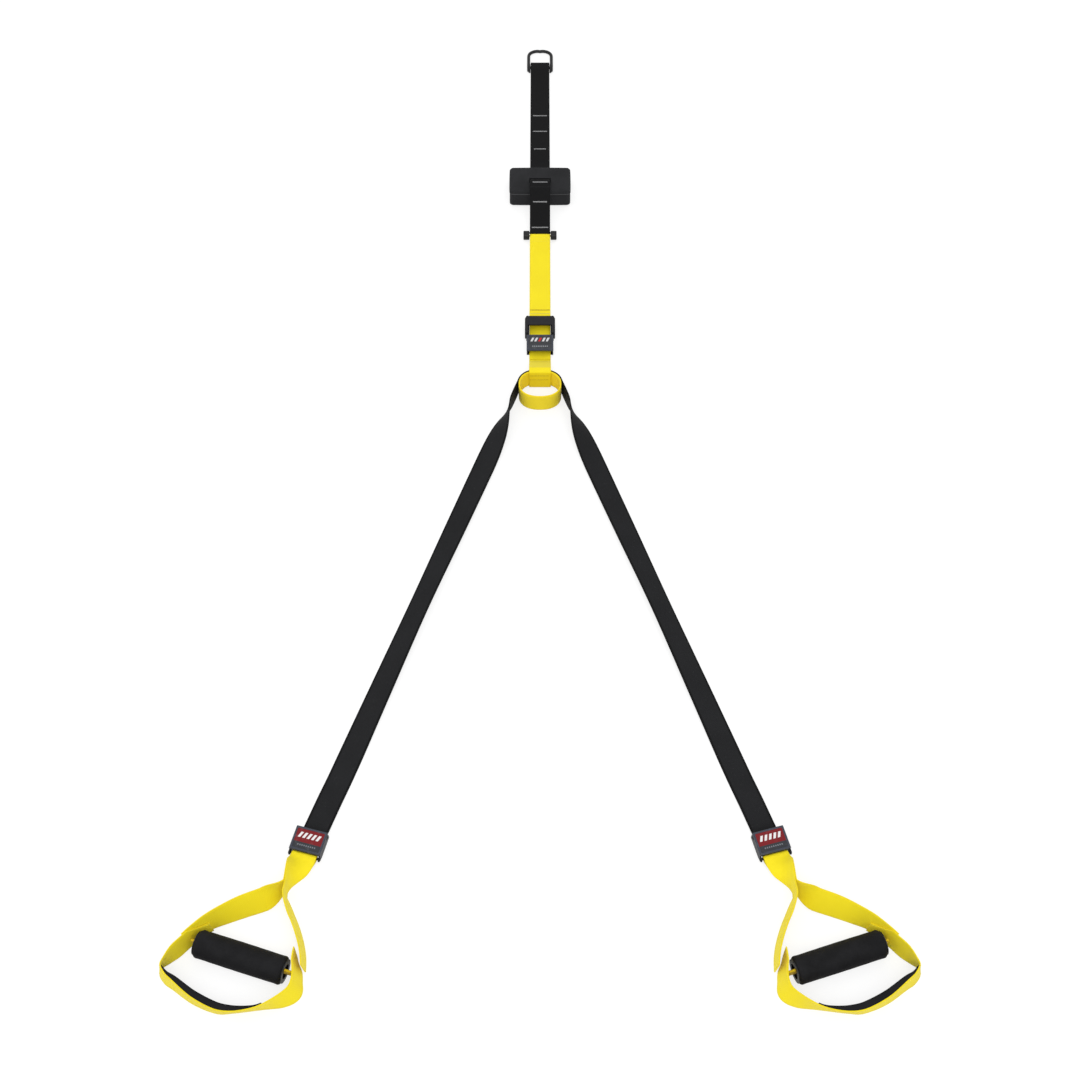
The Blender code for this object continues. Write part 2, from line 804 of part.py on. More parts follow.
def plate_matrix(side):
    spot = leg_start(side) + leg_direction(side) * leg_length
    return at(spot.x, spot.y, 0, side * buckle_yaw)


# Handles

def handle_spot(side, across_share, down_share):
    bar = plate_matrix(side) @ Vector((0, -bar_forward, 0))
    return bar + Vector((side * handle_width * across_share, -handle_length * down_share, 0))


def branch_frames(side, shares):
    stations = []
    for across_share, down_share, lean, lift in shares:
        spot = handle_spot(side, across_share, down_share)
        stations.append((spot.x, spot.y, radians(lean), pinch_lift * lift))
    run = smooth_run(stations, span_steps)
    frames = []
    last = len(run) - 1
    up = Vector((0, 0, 1))
    middle = handle_spot(side, *loop_middle_shares)
    for i, (x, y, lean, lift) in enumerate(run):
        before = run[max(0, i - 1)]
        after = run[min(last, i + 1)]
        along = Vector((after[0] - before[0], after[1] - before[1], 0)).normalized()
        outward = up.cross(along)
        if outward.dot(Vector((x, y, 0)) - middle) < 0:
            outward = -outward
        across = up * cos(lean) + outward * sin(lean)
        normal = outward * cos(lean) - up * sin(lean)
        height = max(lift, 0.0) + half_web * cos(lean) + half_thick * abs(sin(lean))
        frames.append((Vector((x, y, height)), across, normal))
    return frames


def twist_frames(side, layer):
    matrix = plate_matrix(side)
    bar = matrix @ Vector((0, -bar_forward, 0))
    outward = (matrix.to_3x3() @ Vector((side, 0, 0))).normalized()
    pinch = handle_spot(side, *pinch_shares)
    loop = bar_radius + fit + half_thick
    up = Vector((0, 0, 1))
    steps = 3 * span_steps
    frames = []
    for i in range(steps + 1):
        share = i / steps
        turn = quarter * ease(share)
        across = outward * cos(turn) + up * sin(turn)
        normal = up * cos(turn) - outward * sin(turn)
        low = bar_height + (pinch_lift - bar_height) * share
        centre = bar.lerp(pinch, share) + up * (low + half_web * sin(turn))
        spread = layer_pitch / 2 + (loop - layer_pitch / 2) * (1 - ease(share / bar_taper_share))
        frames.append((centre + normal * spread * layer, across, normal))
    return frames


def bar_frames(side):
    matrix = plate_matrix(side)
    bar = matrix @ Vector((0, -bar_forward, bar_height))
    outward = (matrix.to_3x3() @ Vector((side, 0, 0))).normalized()
    back = (matrix.to_3x3() @ Vector((0, 1, 0))).normalized()
    loop = bar_radius + fit + half_thick
    up = Vector((0, 0, 1))
    frames = []
    for i in range(1, loop_steps):
        turn = -quarter + pi * i / loop_steps
        normal = back * cos(turn) + up * sin(turn)
        frames.append((bar + normal * loop, outward, normal))
    return frames


def squared(frames):
    result = []
    last = len(frames) - 1
    for i, (centre, across, _) in enumerate(frames):
        along = (frames[min(last, i + 1)][0] - frames[max(0, i - 1)][0]).normalized()
        square = (across - along * across.dot(along)).normalized()
        result.append((centre, square, along.cross(square)))
    return result


def handle_strap(side_name, side, home, look):
    outer = branch_frames(side, outer_branch_shares)
    inner = branch_frames(side, inner_branch_shares)
    lower = twist_frames(side, -1)
    upper = twist_frames(side, 1)
    frames = outer[::-1] + lower[::-1] + bar_frames(side) + upper + inner
    sections = [band_section(*frame) for frame in squared(frames)]
    return put(sweep(sections), "handle_strap_" + side_name, home, look)


def foot_strap(side_name, side, home, look):
    sections = [band_section(*frame) for frame in squared(branch_frames(side, foot_strap_shares))]
    return put(sweep(sections), "foot_strap_" + side_name, home, look)


def foot_pad(side_name, side, home, look):
    frames = branch_frames(side, foot_strap_shares)
    outward = [normal for _, _, normal in frames]
    first, last = (index * span_steps for index in foot_pad_span)
    half = foot_pad_width / 2
    sections = []
    for i, (centre, across, normal) in enumerate(squared(frames)[first:last + 1]):
        inward = normal if normal.dot(outward[first + i]) < 0 else -normal
        swell = foot_pad_edge + (foot_pad_thick - foot_pad_edge) * sin(pi * i / (last - first)) ** 2
        back = centre + inward * (half_thick + fit)
        sections.append([back + across * (half * a) + inward * (swell * b) for a, b in foot_pad_shares])
    return put(sweep(sections), "foot_pad_" + side_name, home, look)


def grip_ends(side):
    ends = [handle_spot(side, *shares) for shares in grip_end_shares]
    outer, inner = [Vector((end.x, end.y, grip_radius)) for end in ends]
    away = (outer - inner).normalized()
    flange_edge = away.cross(Vector((0, 0, cap_flange_radius)))
    frames = branch_frames(side, foot_strap_shares)
    reach = min(strap_crossing(frames, inner + edge, away) for edge in (flange_edge, -flange_edge))
    return inner + away * (reach - grip_outer_clear), inner


def grip_matrix(side):
    outer, inner = grip_ends(side)
    along = inner - outer
    return at(outer.x, outer.y, outer.z, atan2(along.y, along.x)), along.length


def grip(side_name, side, home, looks):
    frame, length = grip_matrix(side)
    start, end = cap_flange + fit, length - cap_flange - fit
    outer = tube_inner + tube_wall
    tube = turned([(start, tube_inner), (end, tube_inner), (end, outer), (start, outer)], grip_sides)
    put(tube, "grip_tube_" + side_name, home, looks["tube"], frame)
    foam_bore = outer + fit
    profile = [(start, foam_bore), (end, foam_bore)]
    profile += arc(end - grip_edge, grip_radius - grip_edge, grip_edge, 0, quarter, 3)
    profile += arc(start + grip_edge, grip_radius - grip_edge, grip_edge, quarter, pi, 3)
    foam = turned(profile, grip_sides)
    put(foam, "grip_foam_" + side_name, home, looks["foam"], frame)
    spigot = tube_inner - fit
    for cap_name, edge, inward in (("outer", 0.0, 1), ("inner", length, -1)):
        flange = edge + inward * cap_flange
        tip = flange + inward * cap_spigot
        profile = [(edge, cap_bore), (tip, cap_bore), (tip, spigot), (flange, spigot),
                   (flange, cap_flange_radius), (edge, cap_flange_radius)]
        cap = turned(profile, grip_sides)
        put(cap, "grip_cap_" + cap_name + "_" + side_name, home, looks["plastic"], frame)


def strap_crossing(frames, origin, direction):
    for (a, _, _), (b, _, _) in zip(frames, frames[1:]):
        run = b - a
        bottom = direction.x * run.y - direction.y * run.x
        if not bottom:
            continue
        off = a - origin
        far = (off.x * run.y - off.y * run.x) / bottom
        share = (off.x * direction.y - off.y * direction.x) / bottom
        if far > 0 and 0 <= share <= 1:
            return far
    return 0.0


def core_strap(side_name, side, home, look):
    outer, inner = grip_ends(side)
    along = (inner - outer).normalized()
    frames = branch_frames(side, foot_strap_shares)
    start = outer - along * (strap_crossing(frames, outer, -along) - core_outer_clear)
    end = inner + along * (strap_crossing(frames, inner, along) - core_inner_clear)
    up = Vector((0, 0, 1))
    normal = along.cross(up)
    sections = [band_section(spot, up, normal, core_width, 2 * web_thick) for spot in (start, end)]
    return put(sweep(sections), "core_strap_" + side_name, home, look)


# Whole object

def settle_on_origin(root):
    bpy.context.view_layer.update()
    graph = bpy.context.evaluated_depsgraph_get()
    spots = []
    for piece in bpy.data.objects:
        if piece.type in {"MESH", "CURVE"}:
            shape = piece.evaluated_get(graph)
            mesh = shape.to_mesh()
            spots += [shape.matrix_world @ vertex.co for vertex in mesh.vertices]
            shape.to_mesh_clear()
    low_y = min(spot.y for spot in spots)
    high_y = max(spot.y for spot in spots)
    low_z = min(spot.z for spot in spots)
    root.location = (0, -(low_y + high_y) / 2, -low_z)


def build():
    clear_scene()
    looks = {
        "black": finish("black_webbing", (0.020, 0.020, 0.022), 0.85),
        "yellow": finish("yellow_webbing", (0.90, 0.72, 0.02), 0.75),
        "cover": finish("pad_cover", (0.035, 0.036, 0.040), 0.80),
        "foam": finish("black_foam", (0.015, 0.015, 0.017), 0.92),
        "plastic": finish("black_plastic", (0.012, 0.012, 0.014), 0.45),
        "tube": finish("grip_tube", (0.30, 0.30, 0.31), 0.50),
        "casting": finish("black_casting", (0.018, 0.018, 0.022), 0.40, 0.6),
        "plate": finish("lever_plate", (0.070, 0.078, 0.095), 0.42, 0.3),
        "steel": finish("black_steel", (0.030, 0.030, 0.034), 0.30, 1.0),
        "pad": finish("foot_pad", (0.020, 0.020, 0.022), 0.95),
    }
    root = pivot("trainer", Matrix())
    anchor_strap(root, looks["black"])
    door_pad(root, looks["cover"], looks["foam"])
    ring_home = pivot("anchor_ring_pivot", at(0, ring_bar_y, ring_bar_height), root)
    anchor_ring(ring_home, looks["steel"])
    link_home = pivot("link_pivot", at(0, black_pin_y, link_height), root)
    link(link_home, looks["steel"], looks["plastic"])
    upper_home = pivot("upper_pivot", at(0, yellow_pin_y, link_height), link_home)
    upper_strap(upper_home, looks["yellow"])
    centre_matrix = at(0, centre_plate_y, 0)
    centre_home = pivot("centre_buckle_pivot", at(0, top_bar_y, top_bar_height), upper_home)
    buckle("centre_buckle", centre_matrix, centre_home, centre_home, looks, centre=True)
    lower_home = pivot("lower_strap_slide", at(0, seam_y, strap_height), centre_home)
    lower_strap(lower_home, looks["yellow"])
    yoke_home = pivot("yoke_pivot", at(0, seam_y, strap_height), lower_home)
    sling(yoke_home, looks["yellow"])
    stabiliser_ring(yoke_home, looks["yellow"])
    leg_wrap(yoke_home, looks["black"])
    for side_name, side in sides:
        start = leg_start(side)
        leg_home = pivot("leg_pivot_" + side_name, at(start.x, start.y, 0), yoke_home)
        leg_strap(side_name, side, leg_home, looks["black"])
        matrix = plate_matrix(side)
        slide_home = pivot("leg_buckle_slide_" + side_name, matrix, leg_home)
        buckle("leg_buckle_" + side_name, matrix, slide_home, slide_home, looks)
        bar_matrix = matrix @ at(0, -bar_forward, bar_height)
        handle_home = pivot("handle_pivot_" + side_name, bar_matrix, slide_home)
        handle_strap(side_name, side, handle_home, looks["yellow"])
        foot_strap(side_name, side, handle_home, looks["yellow"])
        foot_pad(side_name, side, handle_home, looks["pad"])
        core_strap(side_name, side, handle_home, looks["yellow"])
        grip_frame, _ = grip_matrix(side)
        grip_home = pivot("grip_pivot_" + side_name, grip_frame, handle_home)
        grip(side_name, side, grip_home, looks)
    settle_on_origin(root)
    bpy.context.view_layer.update()
    for empty in bpy.data.objects:
        if empty.type == "EMPTY":
            print("pivot", empty.name, [round(value, 5) for value in empty.matrix_world.translation])


build()
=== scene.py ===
import json
from functools import partial
from math import atan, atan2, cos, exp, hypot, pi, radians, sin, tan

import bmesh
import bpy
from mathutils import Matrix, Vector

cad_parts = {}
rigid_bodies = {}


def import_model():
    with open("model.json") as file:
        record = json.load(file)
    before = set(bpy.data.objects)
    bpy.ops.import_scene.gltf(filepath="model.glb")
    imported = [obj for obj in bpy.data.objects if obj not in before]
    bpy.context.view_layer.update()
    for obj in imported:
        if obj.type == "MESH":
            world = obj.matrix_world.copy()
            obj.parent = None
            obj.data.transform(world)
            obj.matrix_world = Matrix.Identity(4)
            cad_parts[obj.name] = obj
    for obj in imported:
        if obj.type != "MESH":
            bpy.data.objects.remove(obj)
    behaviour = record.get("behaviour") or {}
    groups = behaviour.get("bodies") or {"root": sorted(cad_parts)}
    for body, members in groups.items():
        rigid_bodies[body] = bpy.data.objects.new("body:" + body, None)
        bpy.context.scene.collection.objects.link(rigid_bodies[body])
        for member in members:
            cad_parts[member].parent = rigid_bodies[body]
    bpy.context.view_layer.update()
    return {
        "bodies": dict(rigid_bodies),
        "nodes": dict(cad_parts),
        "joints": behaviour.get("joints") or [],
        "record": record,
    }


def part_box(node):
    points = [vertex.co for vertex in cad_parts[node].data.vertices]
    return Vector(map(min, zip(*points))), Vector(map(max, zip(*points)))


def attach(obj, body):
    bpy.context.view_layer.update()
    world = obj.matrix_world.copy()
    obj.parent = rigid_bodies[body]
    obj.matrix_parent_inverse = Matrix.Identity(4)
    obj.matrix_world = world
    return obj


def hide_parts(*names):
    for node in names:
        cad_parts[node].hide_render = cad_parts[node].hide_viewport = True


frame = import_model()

scene = bpy.context.scene
sides = (("left", -1), ("right", 1))
upward = Vector((0, 0, 1))
sideways = Vector((1, 0, 0))

# The shot: a laid-out trainer seen from its handles

cameraSpec = {"place": (0.0, -1.50035, 2.1000), "aim": (0.0, -0.20535, 0.0), "lens": 50.0, "sensor": 36.0,
              "nearest": 0.05, "farthest": 30.0}


def addObject(name, data):
    thing = bpy.data.objects.new(name, data)
    scene.collection.objects.link(thing)
    return thing


def aimAt(thing, place, aim):
    thing.location = place
    thing.rotation_euler = (Vector(aim) - Vector(place)).to_track_quat("-Z", "Y").to_euler()


def makeCamera(spec):
    data = bpy.data.cameras.new("studioCamera")
    data.lens, data.sensor_width = spec["lens"], spec["sensor"]
    data.clip_start, data.clip_end = spec["nearest"], spec["farthest"]
    scene.camera = addObject("studioCamera", data)
    aimAt(scene.camera, spec["place"], spec["aim"])


makeCamera(cameraSpec)
print("camera placed")


# Shader tools

def feed(tree, source, target):
    if isinstance(source, bpy.types.NodeSocket):
        tree.links.new(source, target)
    elif target.type == "RGBA":
        target.default_value = (*source, 1.0)
    else:
        target.default_value = source


def addNode(tree, kind, given=(), **settings):
    node = tree.nodes.new(kind)
    for key, value in settings.items():
        setattr(node, key, value)
    for label, value in dict(given).items():
        feed(tree, value, node.inputs[label])
    return node


def calc(tree, operation, *values):
    return addNode(tree, "ShaderNodeMath", enumerate(values), operation=operation).outputs[0]


def blendColors(tree, share, first, second):
    return addNode(tree, "ShaderNodeMix", {"Factor": share, 6: first, 7: second}, data_type="RGBA").outputs[2]


def remap(tree, value, low, high, lowOut=0.0, highOut=1.0):
    given = {"Value": value, "From Min": low, "From Max": high, "To Min": lowOut, "To Max": highOut}
    return addNode(tree, "ShaderNodeMapRange", given).outputs[0]


def noise(tree, place, scale, detail, rough=0.5):
    given = {"Vector": place, "Scale": scale, "Detail": detail, "Roughness": rough}
    return addNode(tree, "ShaderNodeTexNoise", given).outputs["Fac"]


def splitPlace(tree, place):
    return addNode(tree, "ShaderNodeSeparateXYZ", {0: place}).outputs


def bandPlace(tree):
    return addNode(tree, "ShaderNodeUVMap", uv_map="bandUv").outputs[0]


def objectPlace(tree):
    return addNode(tree, "ShaderNodeTexCoord").outputs["Object"]


def startGroup(name, inputs, outputs):
    # A place and some numbers come in, numbers come out
    group = bpy.data.node_groups.new(name, "ShaderNodeTree")
    group.interface.new_socket("Place", in_out="INPUT", socket_type="NodeSocketVector")
    for label, value in inputs.items():
        group.interface.new_socket(label, in_out="INPUT", socket_type="NodeSocketFloat").default_value = value
    for label in outputs:
        group.interface.new_socket(label, in_out="OUTPUT", socket_type="NodeSocketFloat")
    return group, addNode(group, "NodeGroupInput").outputs


def placeGroup(tree, group, **values):
    return addNode(tree, "ShaderNodeGroup", values, node_tree=group).outputs


weaveSpec = {"Yarn": 0.0012, "Chevron": 5.0, "Selvedge": 0.0172}
weaveRelief = {"swing": 0.6, "ground": 0.4, "fade": 0.0013}


def makeBandWeave():
    # Herringbone webbing: u runs along the band, v across it, both in metres
    group, given = startGroup("bandWeave", weaveSpec, ("Height", "Shade", "Edge"))
    work, swing, ground = partial(calc, group), weaveRelief["swing"], weaveRelief["ground"]
    u, v, _ = splitPlace(group, given["Place"])
    along, across = work("DIVIDE", u, given["Yarn"]), work("DIVIDE", v, given["Yarn"])
    lean = work("PINGPONG", work("FLOOR", across), given["Chevron"])
    turn = work("MULTIPLY", work("ADD", work("MULTIPLY", lean, 0.5), along), pi)
    over = work("MULTIPLY_ADD", work("SINE", turn), 0.5, 0.5)
    rib = work("ABSOLUTE", work("SINE", work("MULTIPLY", across, pi)))
    height = work("MULTIPLY", work("POWER", rib, 0.5), work("MULTIPLY_ADD", over, swing, ground))
    outer = work("ADD", given["Selvedge"], weaveRelief["fade"])
    edge = remap(group, work("ABSOLUTE", v), given["Selvedge"], outer)
    shade = work("MULTIPLY_ADD", height, swing, ground)
    addNode(group, "NodeGroupOutput", {"Height": height, "Shade": shade, "Edge": edge})
    return group


cloudSpec = {"detail": 3.0, "drift": (0.35, 0.65), "lint": (0.66, 0.80)}


def makeCloudiness():
    # Slow drift of a colour over a surface, with fine specks of lint or dust
    group, given = startGroup("cloudiness", {"Cloud": 18.0, "Speck": 900.0}, ("Drift", "Lint"))
    cloud, speck = (noise(group, given["Place"], given[label], cloudSpec["detail"]) for label in ("Cloud", "Speck"))
    addNode(group, "NodeGroupOutput", {"Drift": remap(group, cloud, *cloudSpec["drift"]),
                                       "Lint": remap(group, speck, *cloudSpec["lint"])})
    return group


rubSpec = {"patch": 160.0, "patchDetail": 5.0, "grainDetail": 2.0, "wear": (0.56, 0.74)}


def makeRubbed():
    # Rubbed high spots and fine scratches of finished metal and plastic
    group, given = startGroup("rubbed", {"Grain": 1400.0}, ("Wear", "Grain"))
    patch = noise(group, given["Place"], rubSpec["patch"], rubSpec["patchDetail"])
    fine = noise(group, given["Place"], given["Grain"], rubSpec["grainDetail"])
    addNode(group, "NodeGroupOutput", {"Wear": remap(group, patch, *rubSpec["wear"]), "Grain": fine})
    return group


bandWeave = makeBandWeave()
cloudiness = makeCloudiness()
rubbed = makeRubbed()


# Materials: each maker gives a colour, a roughness, a height with its relief (the bump's strength and distance),
# and the values that are the same all over

def startLook(name):
    look = bpy.data.materials.new(name)
    look.use_nodes = True
    return look, look.node_tree, look.node_tree.nodes["Principled BSDF"]


def makeLook(name, maker, *values):
    look, tree, shader = startLook(name)
    color, rough, height, (strength, distance), fixed = maker(tree, *values)
    bump = addNode(tree, "ShaderNodeBump", {"Strength": strength, "Distance": distance, "Height": height})
    given = {"Base Color": color, "Roughness": rough, "Normal": bump.outputs[0], **fixed}
    for label, value in given.items():
        feed(tree, value, shader.inputs[label])
    return look


def layered(tree, color, *layers):
    # Each layer lays a tone over the colour, by an output times a share
    for output, share, tone in layers:
        color = blendColors(tree, calc(tree, "MULTIPLY", output, share), color, tone)
    return color


webbingSpec = {"drift": 0.22, "rough": 0.82, "roughSwing": -0.12, "sheenRough": 0.4, "relief": (0.7, 0.00022)}


def webbingLook(tree, high, low, lint, sheen=0.10, shine=0.30, selvedge=weaveSpec["Selvedge"], rim=0.35,
                speck=900.0, fleck=0.25):
    spec = webbingSpec
    weave = placeGroup(tree, bandWeave, Place=bandPlace(tree), Selvedge=selvedge)
    cloud = placeGroup(tree, cloudiness, Place=objectPlace(tree), Speck=speck)
    color = layered(tree, blendColors(tree, weave["Shade"], low, high),
                    (cloud["Drift"], spec["drift"], low), (weave["Edge"], rim, low), (cloud["Lint"], fleck, lint))
    rough = calc(tree, "MULTIPLY_ADD", weave["Height"], spec["roughSwing"], spec["rough"])
    return (color, rough, weave["Height"], spec["relief"],
            {"Sheen Weight": sheen, "Sheen Roughness": spec["sheenRough"], "Specular IOR Level": shine})


clothSpec = {"cloud": 26.0, "speck": 700.0, "fleck": 0.2, "lint": (0.12, 0.12, 0.12), "roughSwing": 0.1,
             "relief": (0.35, 0.00012), "shine": 0.18}


def clothLook(tree, high, low, weave, rough=0.85):
    # Close plain cloth on Object coordinates
    spec, work, place = clothSpec, partial(calc, tree), objectPlace(tree)
    x, y, z = (work("SINE", work("MULTIPLY", axis, 2 * pi / weave)) for axis in splitPlace(tree, place))
    height = work("ADD", work("MULTIPLY", x, y), work("MULTIPLY", z, work("ADD", x, y)))
    cloud = placeGroup(tree, cloudiness, Place=place, Cloud=spec["cloud"], Speck=spec["speck"])
    color = layered(tree, blendColors(tree, cloud["Drift"], low, high), (cloud["Lint"], spec["fleck"], spec["lint"]))
    swing = spec["roughSwing"]
    return (color, work("MULTIPLY_ADD", cloud["Drift"], swing, rough - swing), height, spec["relief"],
            {"Specular IOR Level": spec["shine"]})


foamSpec = {"pore": 1500.0, "cloud": 45.0, "speck": 1300.0, "fleck": 0.12, "lint": (0.10, 0.10, 0.10),
            "rough": (0.0, 0.8, 0.95, 0.72), "relief": (0.5, 0.0002), "shine": 0.18}


def foamLook(tree, high, low):
    spec, place = foamSpec, objectPlace(tree)
    pores = addNode(tree, "ShaderNodeTexVoronoi", {"Vector": place, "Scale": spec["pore"]}, feature="F1")
    cloud = placeGroup(tree, cloudiness, Place=place, Cloud=spec["cloud"], Speck=spec["speck"])
    color = layered(tree, blendColors(tree, cloud["Drift"], low, high), (cloud["Lint"], spec["fleck"], spec["lint"]))
    depth = pores.outputs["Distance"]
    return color, remap(tree, depth, *spec["rough"]), depth, spec["relief"], {"Specular IOR Level": spec["shine"]}


hardSpec = {"roughSwing": 0.2, "relief": (0.4, 0.00005)}


def hardLook(tree, base, worn, rough, metal=0.0, wear=0.35, shine=0.5):
    marks, swing = placeGroup(tree, rubbed, Place=objectPlace(tree)), hardSpec["roughSwing"]
    return (layered(tree, base, (marks["Wear"], wear, worn)),
            calc(tree, "MULTIPLY_ADD", marks["Grain"], swing, rough - swing / 2), marks["Grain"],
            hardSpec["relief"], {"Metallic": metal, "Specular IOR Level": shine})


threadSpec = {"twist": (3000.0, 2.0, 0.6), "shade": 0.6, "rough": (0.3, 0.7, 0.75, 0.55), "relief": (0.4, 0.0001)}


def threadLook(tree, base):
    spec = threadSpec
    twist = noise(tree, objectPlace(tree), *spec["twist"])
    color = blendColors(tree, twist, tuple(channel * spec["shade"] for channel in base), base)
    return color, remap(tree, twist, *spec["rough"]), twist, spec["relief"], {}


fieldSpec = {"slant": -0.40, "barRise": 0.0108, "barTall": 0.0042, "barPitch": 0.0034, "barHalf": 0.0019,
             "barsHalf": 0.0158, "middleHalf": 0.0030, "dashDrop": 0.0042, "dashTall": 0.0011,
             "dashPitch": 0.0016, "dashHalf": 0.0009, "dashesHalf": 0.0150, "grain": 1800.0, "wear": 0.15,
             "worn": (0.20, 0.20, 0.21), "roughSwing": 0.2, "rough": 0.35, "relief": (0.25, 0.00003), "shine": 0.25}


def fieldLook(tree, ground, bars, middleBar, accent, split, under):
    # A painted field: u runs across the plate and v up the strap, both in metres
    spec, work = fieldSpec, partial(calc, tree)

    def within(value, limit, kind="ABSOLUTE", *extra):
        return work("LESS_THAN", work(kind, value, *extra), limit)

    u, v, _ = splitPlace(tree, bandPlace(tree))
    upper = work("GREATER_THAN", v, split)
    height = work("SUBTRACT", v, split + spec["barRise"])
    lean = work("MULTIPLY_ADD", height, spec["slant"], u)
    stripe = work("MULTIPLY", within(lean, spec["barHalf"], "PINGPONG", spec["barPitch"]),
                  within(lean, spec["barsHalf"]))
    stripe = work("MULTIPLY", stripe, work("MULTIPLY", within(height, spec["barTall"]), upper))
    row = within(work("SUBTRACT", v, split - spec["dashDrop"]), spec["dashTall"])
    dash = work("MULTIPLY", within(u, spec["dashHalf"], "PINGPONG", spec["dashPitch"]), row)
    dash = work("MULTIPLY", dash, within(u, spec["dashesHalf"]))
    bright = blendColors(tree, within(lean, spec["middleHalf"]), bars, middleBar)
    color = blendColors(tree, upper, under, ground)
    color = blendColors(tree, stripe, color, bright)
    color = blendColors(tree, dash, color, accent)
    marks = placeGroup(tree, rubbed, Place=objectPlace(tree), Grain=spec["grain"])
    return (layered(tree, color, (marks["Wear"], spec["wear"], spec["worn"])),
            work("MULTIPLY_ADD", marks["Grain"], spec["roughSwing"], spec["rough"]), marks["Grain"],
            spec["relief"], {"Specular IOR Level": spec["shine"]})


# Each material: its maker, then its colours and its own values

lookSpecs = {
    "yellowWebbing": (webbingLook, (0.93, 0.79, 0.010), (0.74, 0.56, 0.004), (1.0, 0.93, 0.30)),
    # a brighter copy of the yellow webbing: painted light on the ring's walls
    "litRingWebbing": (webbingLook, (0.98, 0.79, 0.016), (0.78, 0.57, 0.006), (1.0, 0.93, 0.30)),
    # a darker, orange copy of the yellow webbing: painted shade on the core near the grip's ends
    "shadedCoreWebbing": (webbingLook, (0.80, 0.55, 0.006), (0.45, 0.28, 0.003), (0.9, 0.8, 0.3)),
    "blackWebbing": (webbingLook, (0.0150, 0.0155, 0.0170), (0.0018, 0.0018, 0.0021), (0.06, 0.06, 0.065),
                     0.0, 0.15, 0.0148, 1.0, 330.0, 0.45),
    "anchorWebbing": (webbingLook, (0.0064, 0.0064, 0.0068), (0.0022, 0.0022, 0.0025), (0.04, 0.04, 0.045),
                      0.0, 0.12),
    "padCloth": (clothLook, (0.021, 0.0214, 0.0235), (0.012, 0.0124, 0.0138), 0.0011),
    "footCloth": (clothLook, (0.011, 0.011, 0.012), (0.005, 0.005, 0.006), 0.0013, 0.95),
    "gripFoam": (foamLook, (0.0080, 0.0080, 0.0092), (0.0038, 0.0038, 0.0045)),
    "tube": (hardLook, (0.30, 0.30, 0.31), (0.45, 0.45, 0.45), 0.5),
    "plastic": (hardLook, (0.004, 0.004, 0.005), (0.03, 0.03, 0.03), 0.45, 0.0, 0.35, 0.28),
    "casting": (hardLook, (0.0040, 0.0040, 0.0065), (0.04, 0.04, 0.05), 0.45, 0.0, 0.2, 0.25),
    "leverPaint": (hardLook, (0.026, 0.030, 0.042), (0.12, 0.13, 0.15), 0.42, 0.2, 0.25),
    "rimPaint": (hardLook, (0.034, 0.040, 0.062), (0.14, 0.15, 0.18), 0.40, 0.10, 0.3, 0.35),
    "steel": (hardLook, (0.007, 0.007, 0.008), (0.06, 0.06, 0.06), 0.36, 0.5, 0.2),
    "paleThread": (threadLook, (0.40, 0.40, 0.41)),
    "yellowThread": (threadLook, (0.95, 0.82, 0.10)),
    # brown lines of painted shadow, at the upper strap's folded end and in the sling's folds
    "brownShadowLine": (threadLook, (0.28, 0.17, 0.01)),
    "padPipe": (threadLook, (0.030, 0.030, 0.033)),
    "legField": (fieldLook, (0.165, 0.002, 0.005), (0.72, 0.72, 0.72), (0.72, 0.72, 0.72), (0.16, 0.17, 0.19),
                 -0.0050, (0.022, 0.024, 0.030)),
    "centreField": (fieldLook, (0.030, 0.031, 0.036), (0.62, 0.62, 0.63), (0.50, 0.02, 0.02),
                    (0.30, 0.31, 0.33), -0.0045, (0.036, 0.038, 0.045)),
}
looks = {name: makeLook(name, *values) for name, values in lookSpecs.items()}
print("materials made")

# Mesh tools


def spaced(start, end, count):
    return [start + (end - start) * i / count for i in range(count + 1)]


def turns(count):
    return [2 * pi * i / count for i in range(count)]


def skin(rows, count, base=0, closed=False):
    # Quads between rows of points, where each row is a loop
    faces = []
    for row in range(rows if closed else rows - 1):
        here, after = base + row * count, base + (row + 1) % rows * count
        faces += [(here + i, here + (i + 1) % count, after + (i + 1) % count, after + i) for i in range(count)]
    return faces


def caps(rows, count, base=0):
    return [[base + row * count + i for i in range(count)] for row in (0, rows - 1)]


def makePiece(name, points, faces, lookName, cornerUv=()):
    mesh = bpy.data.meshes.new(name)
    mesh.from_pydata([tuple(point) for point in points], [], faces)
    if cornerUv:
        layer = mesh.uv_layers.new(name="bandUv")
        layer.data.foreach_set("uv", [value for pair in cornerUv for value in pair])
    work = bmesh.new()
    work.from_mesh(mesh)
    bmesh.ops.recalc_face_normals(work, faces=work.faces)
    work.to_mesh(mesh)
    work.free()
    mesh.shade_smooth()
    mesh.set_sharp_from_angle(angle=radians(50))
    mesh.materials.append(looks[lookName])
    return addObject(name, mesh)


def applyModifiers(piece):
    graph = bpy.context.evaluated_depsgraph_get()
    mesh = bpy.data.meshes.new_from_object(piece.evaluated_get(graph))
    piece.modifiers.clear()
    piece.data = mesh


def showAs(piece, body, slotName, *nodes):
    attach(piece, body)
    if nodes:
        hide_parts(*nodes)


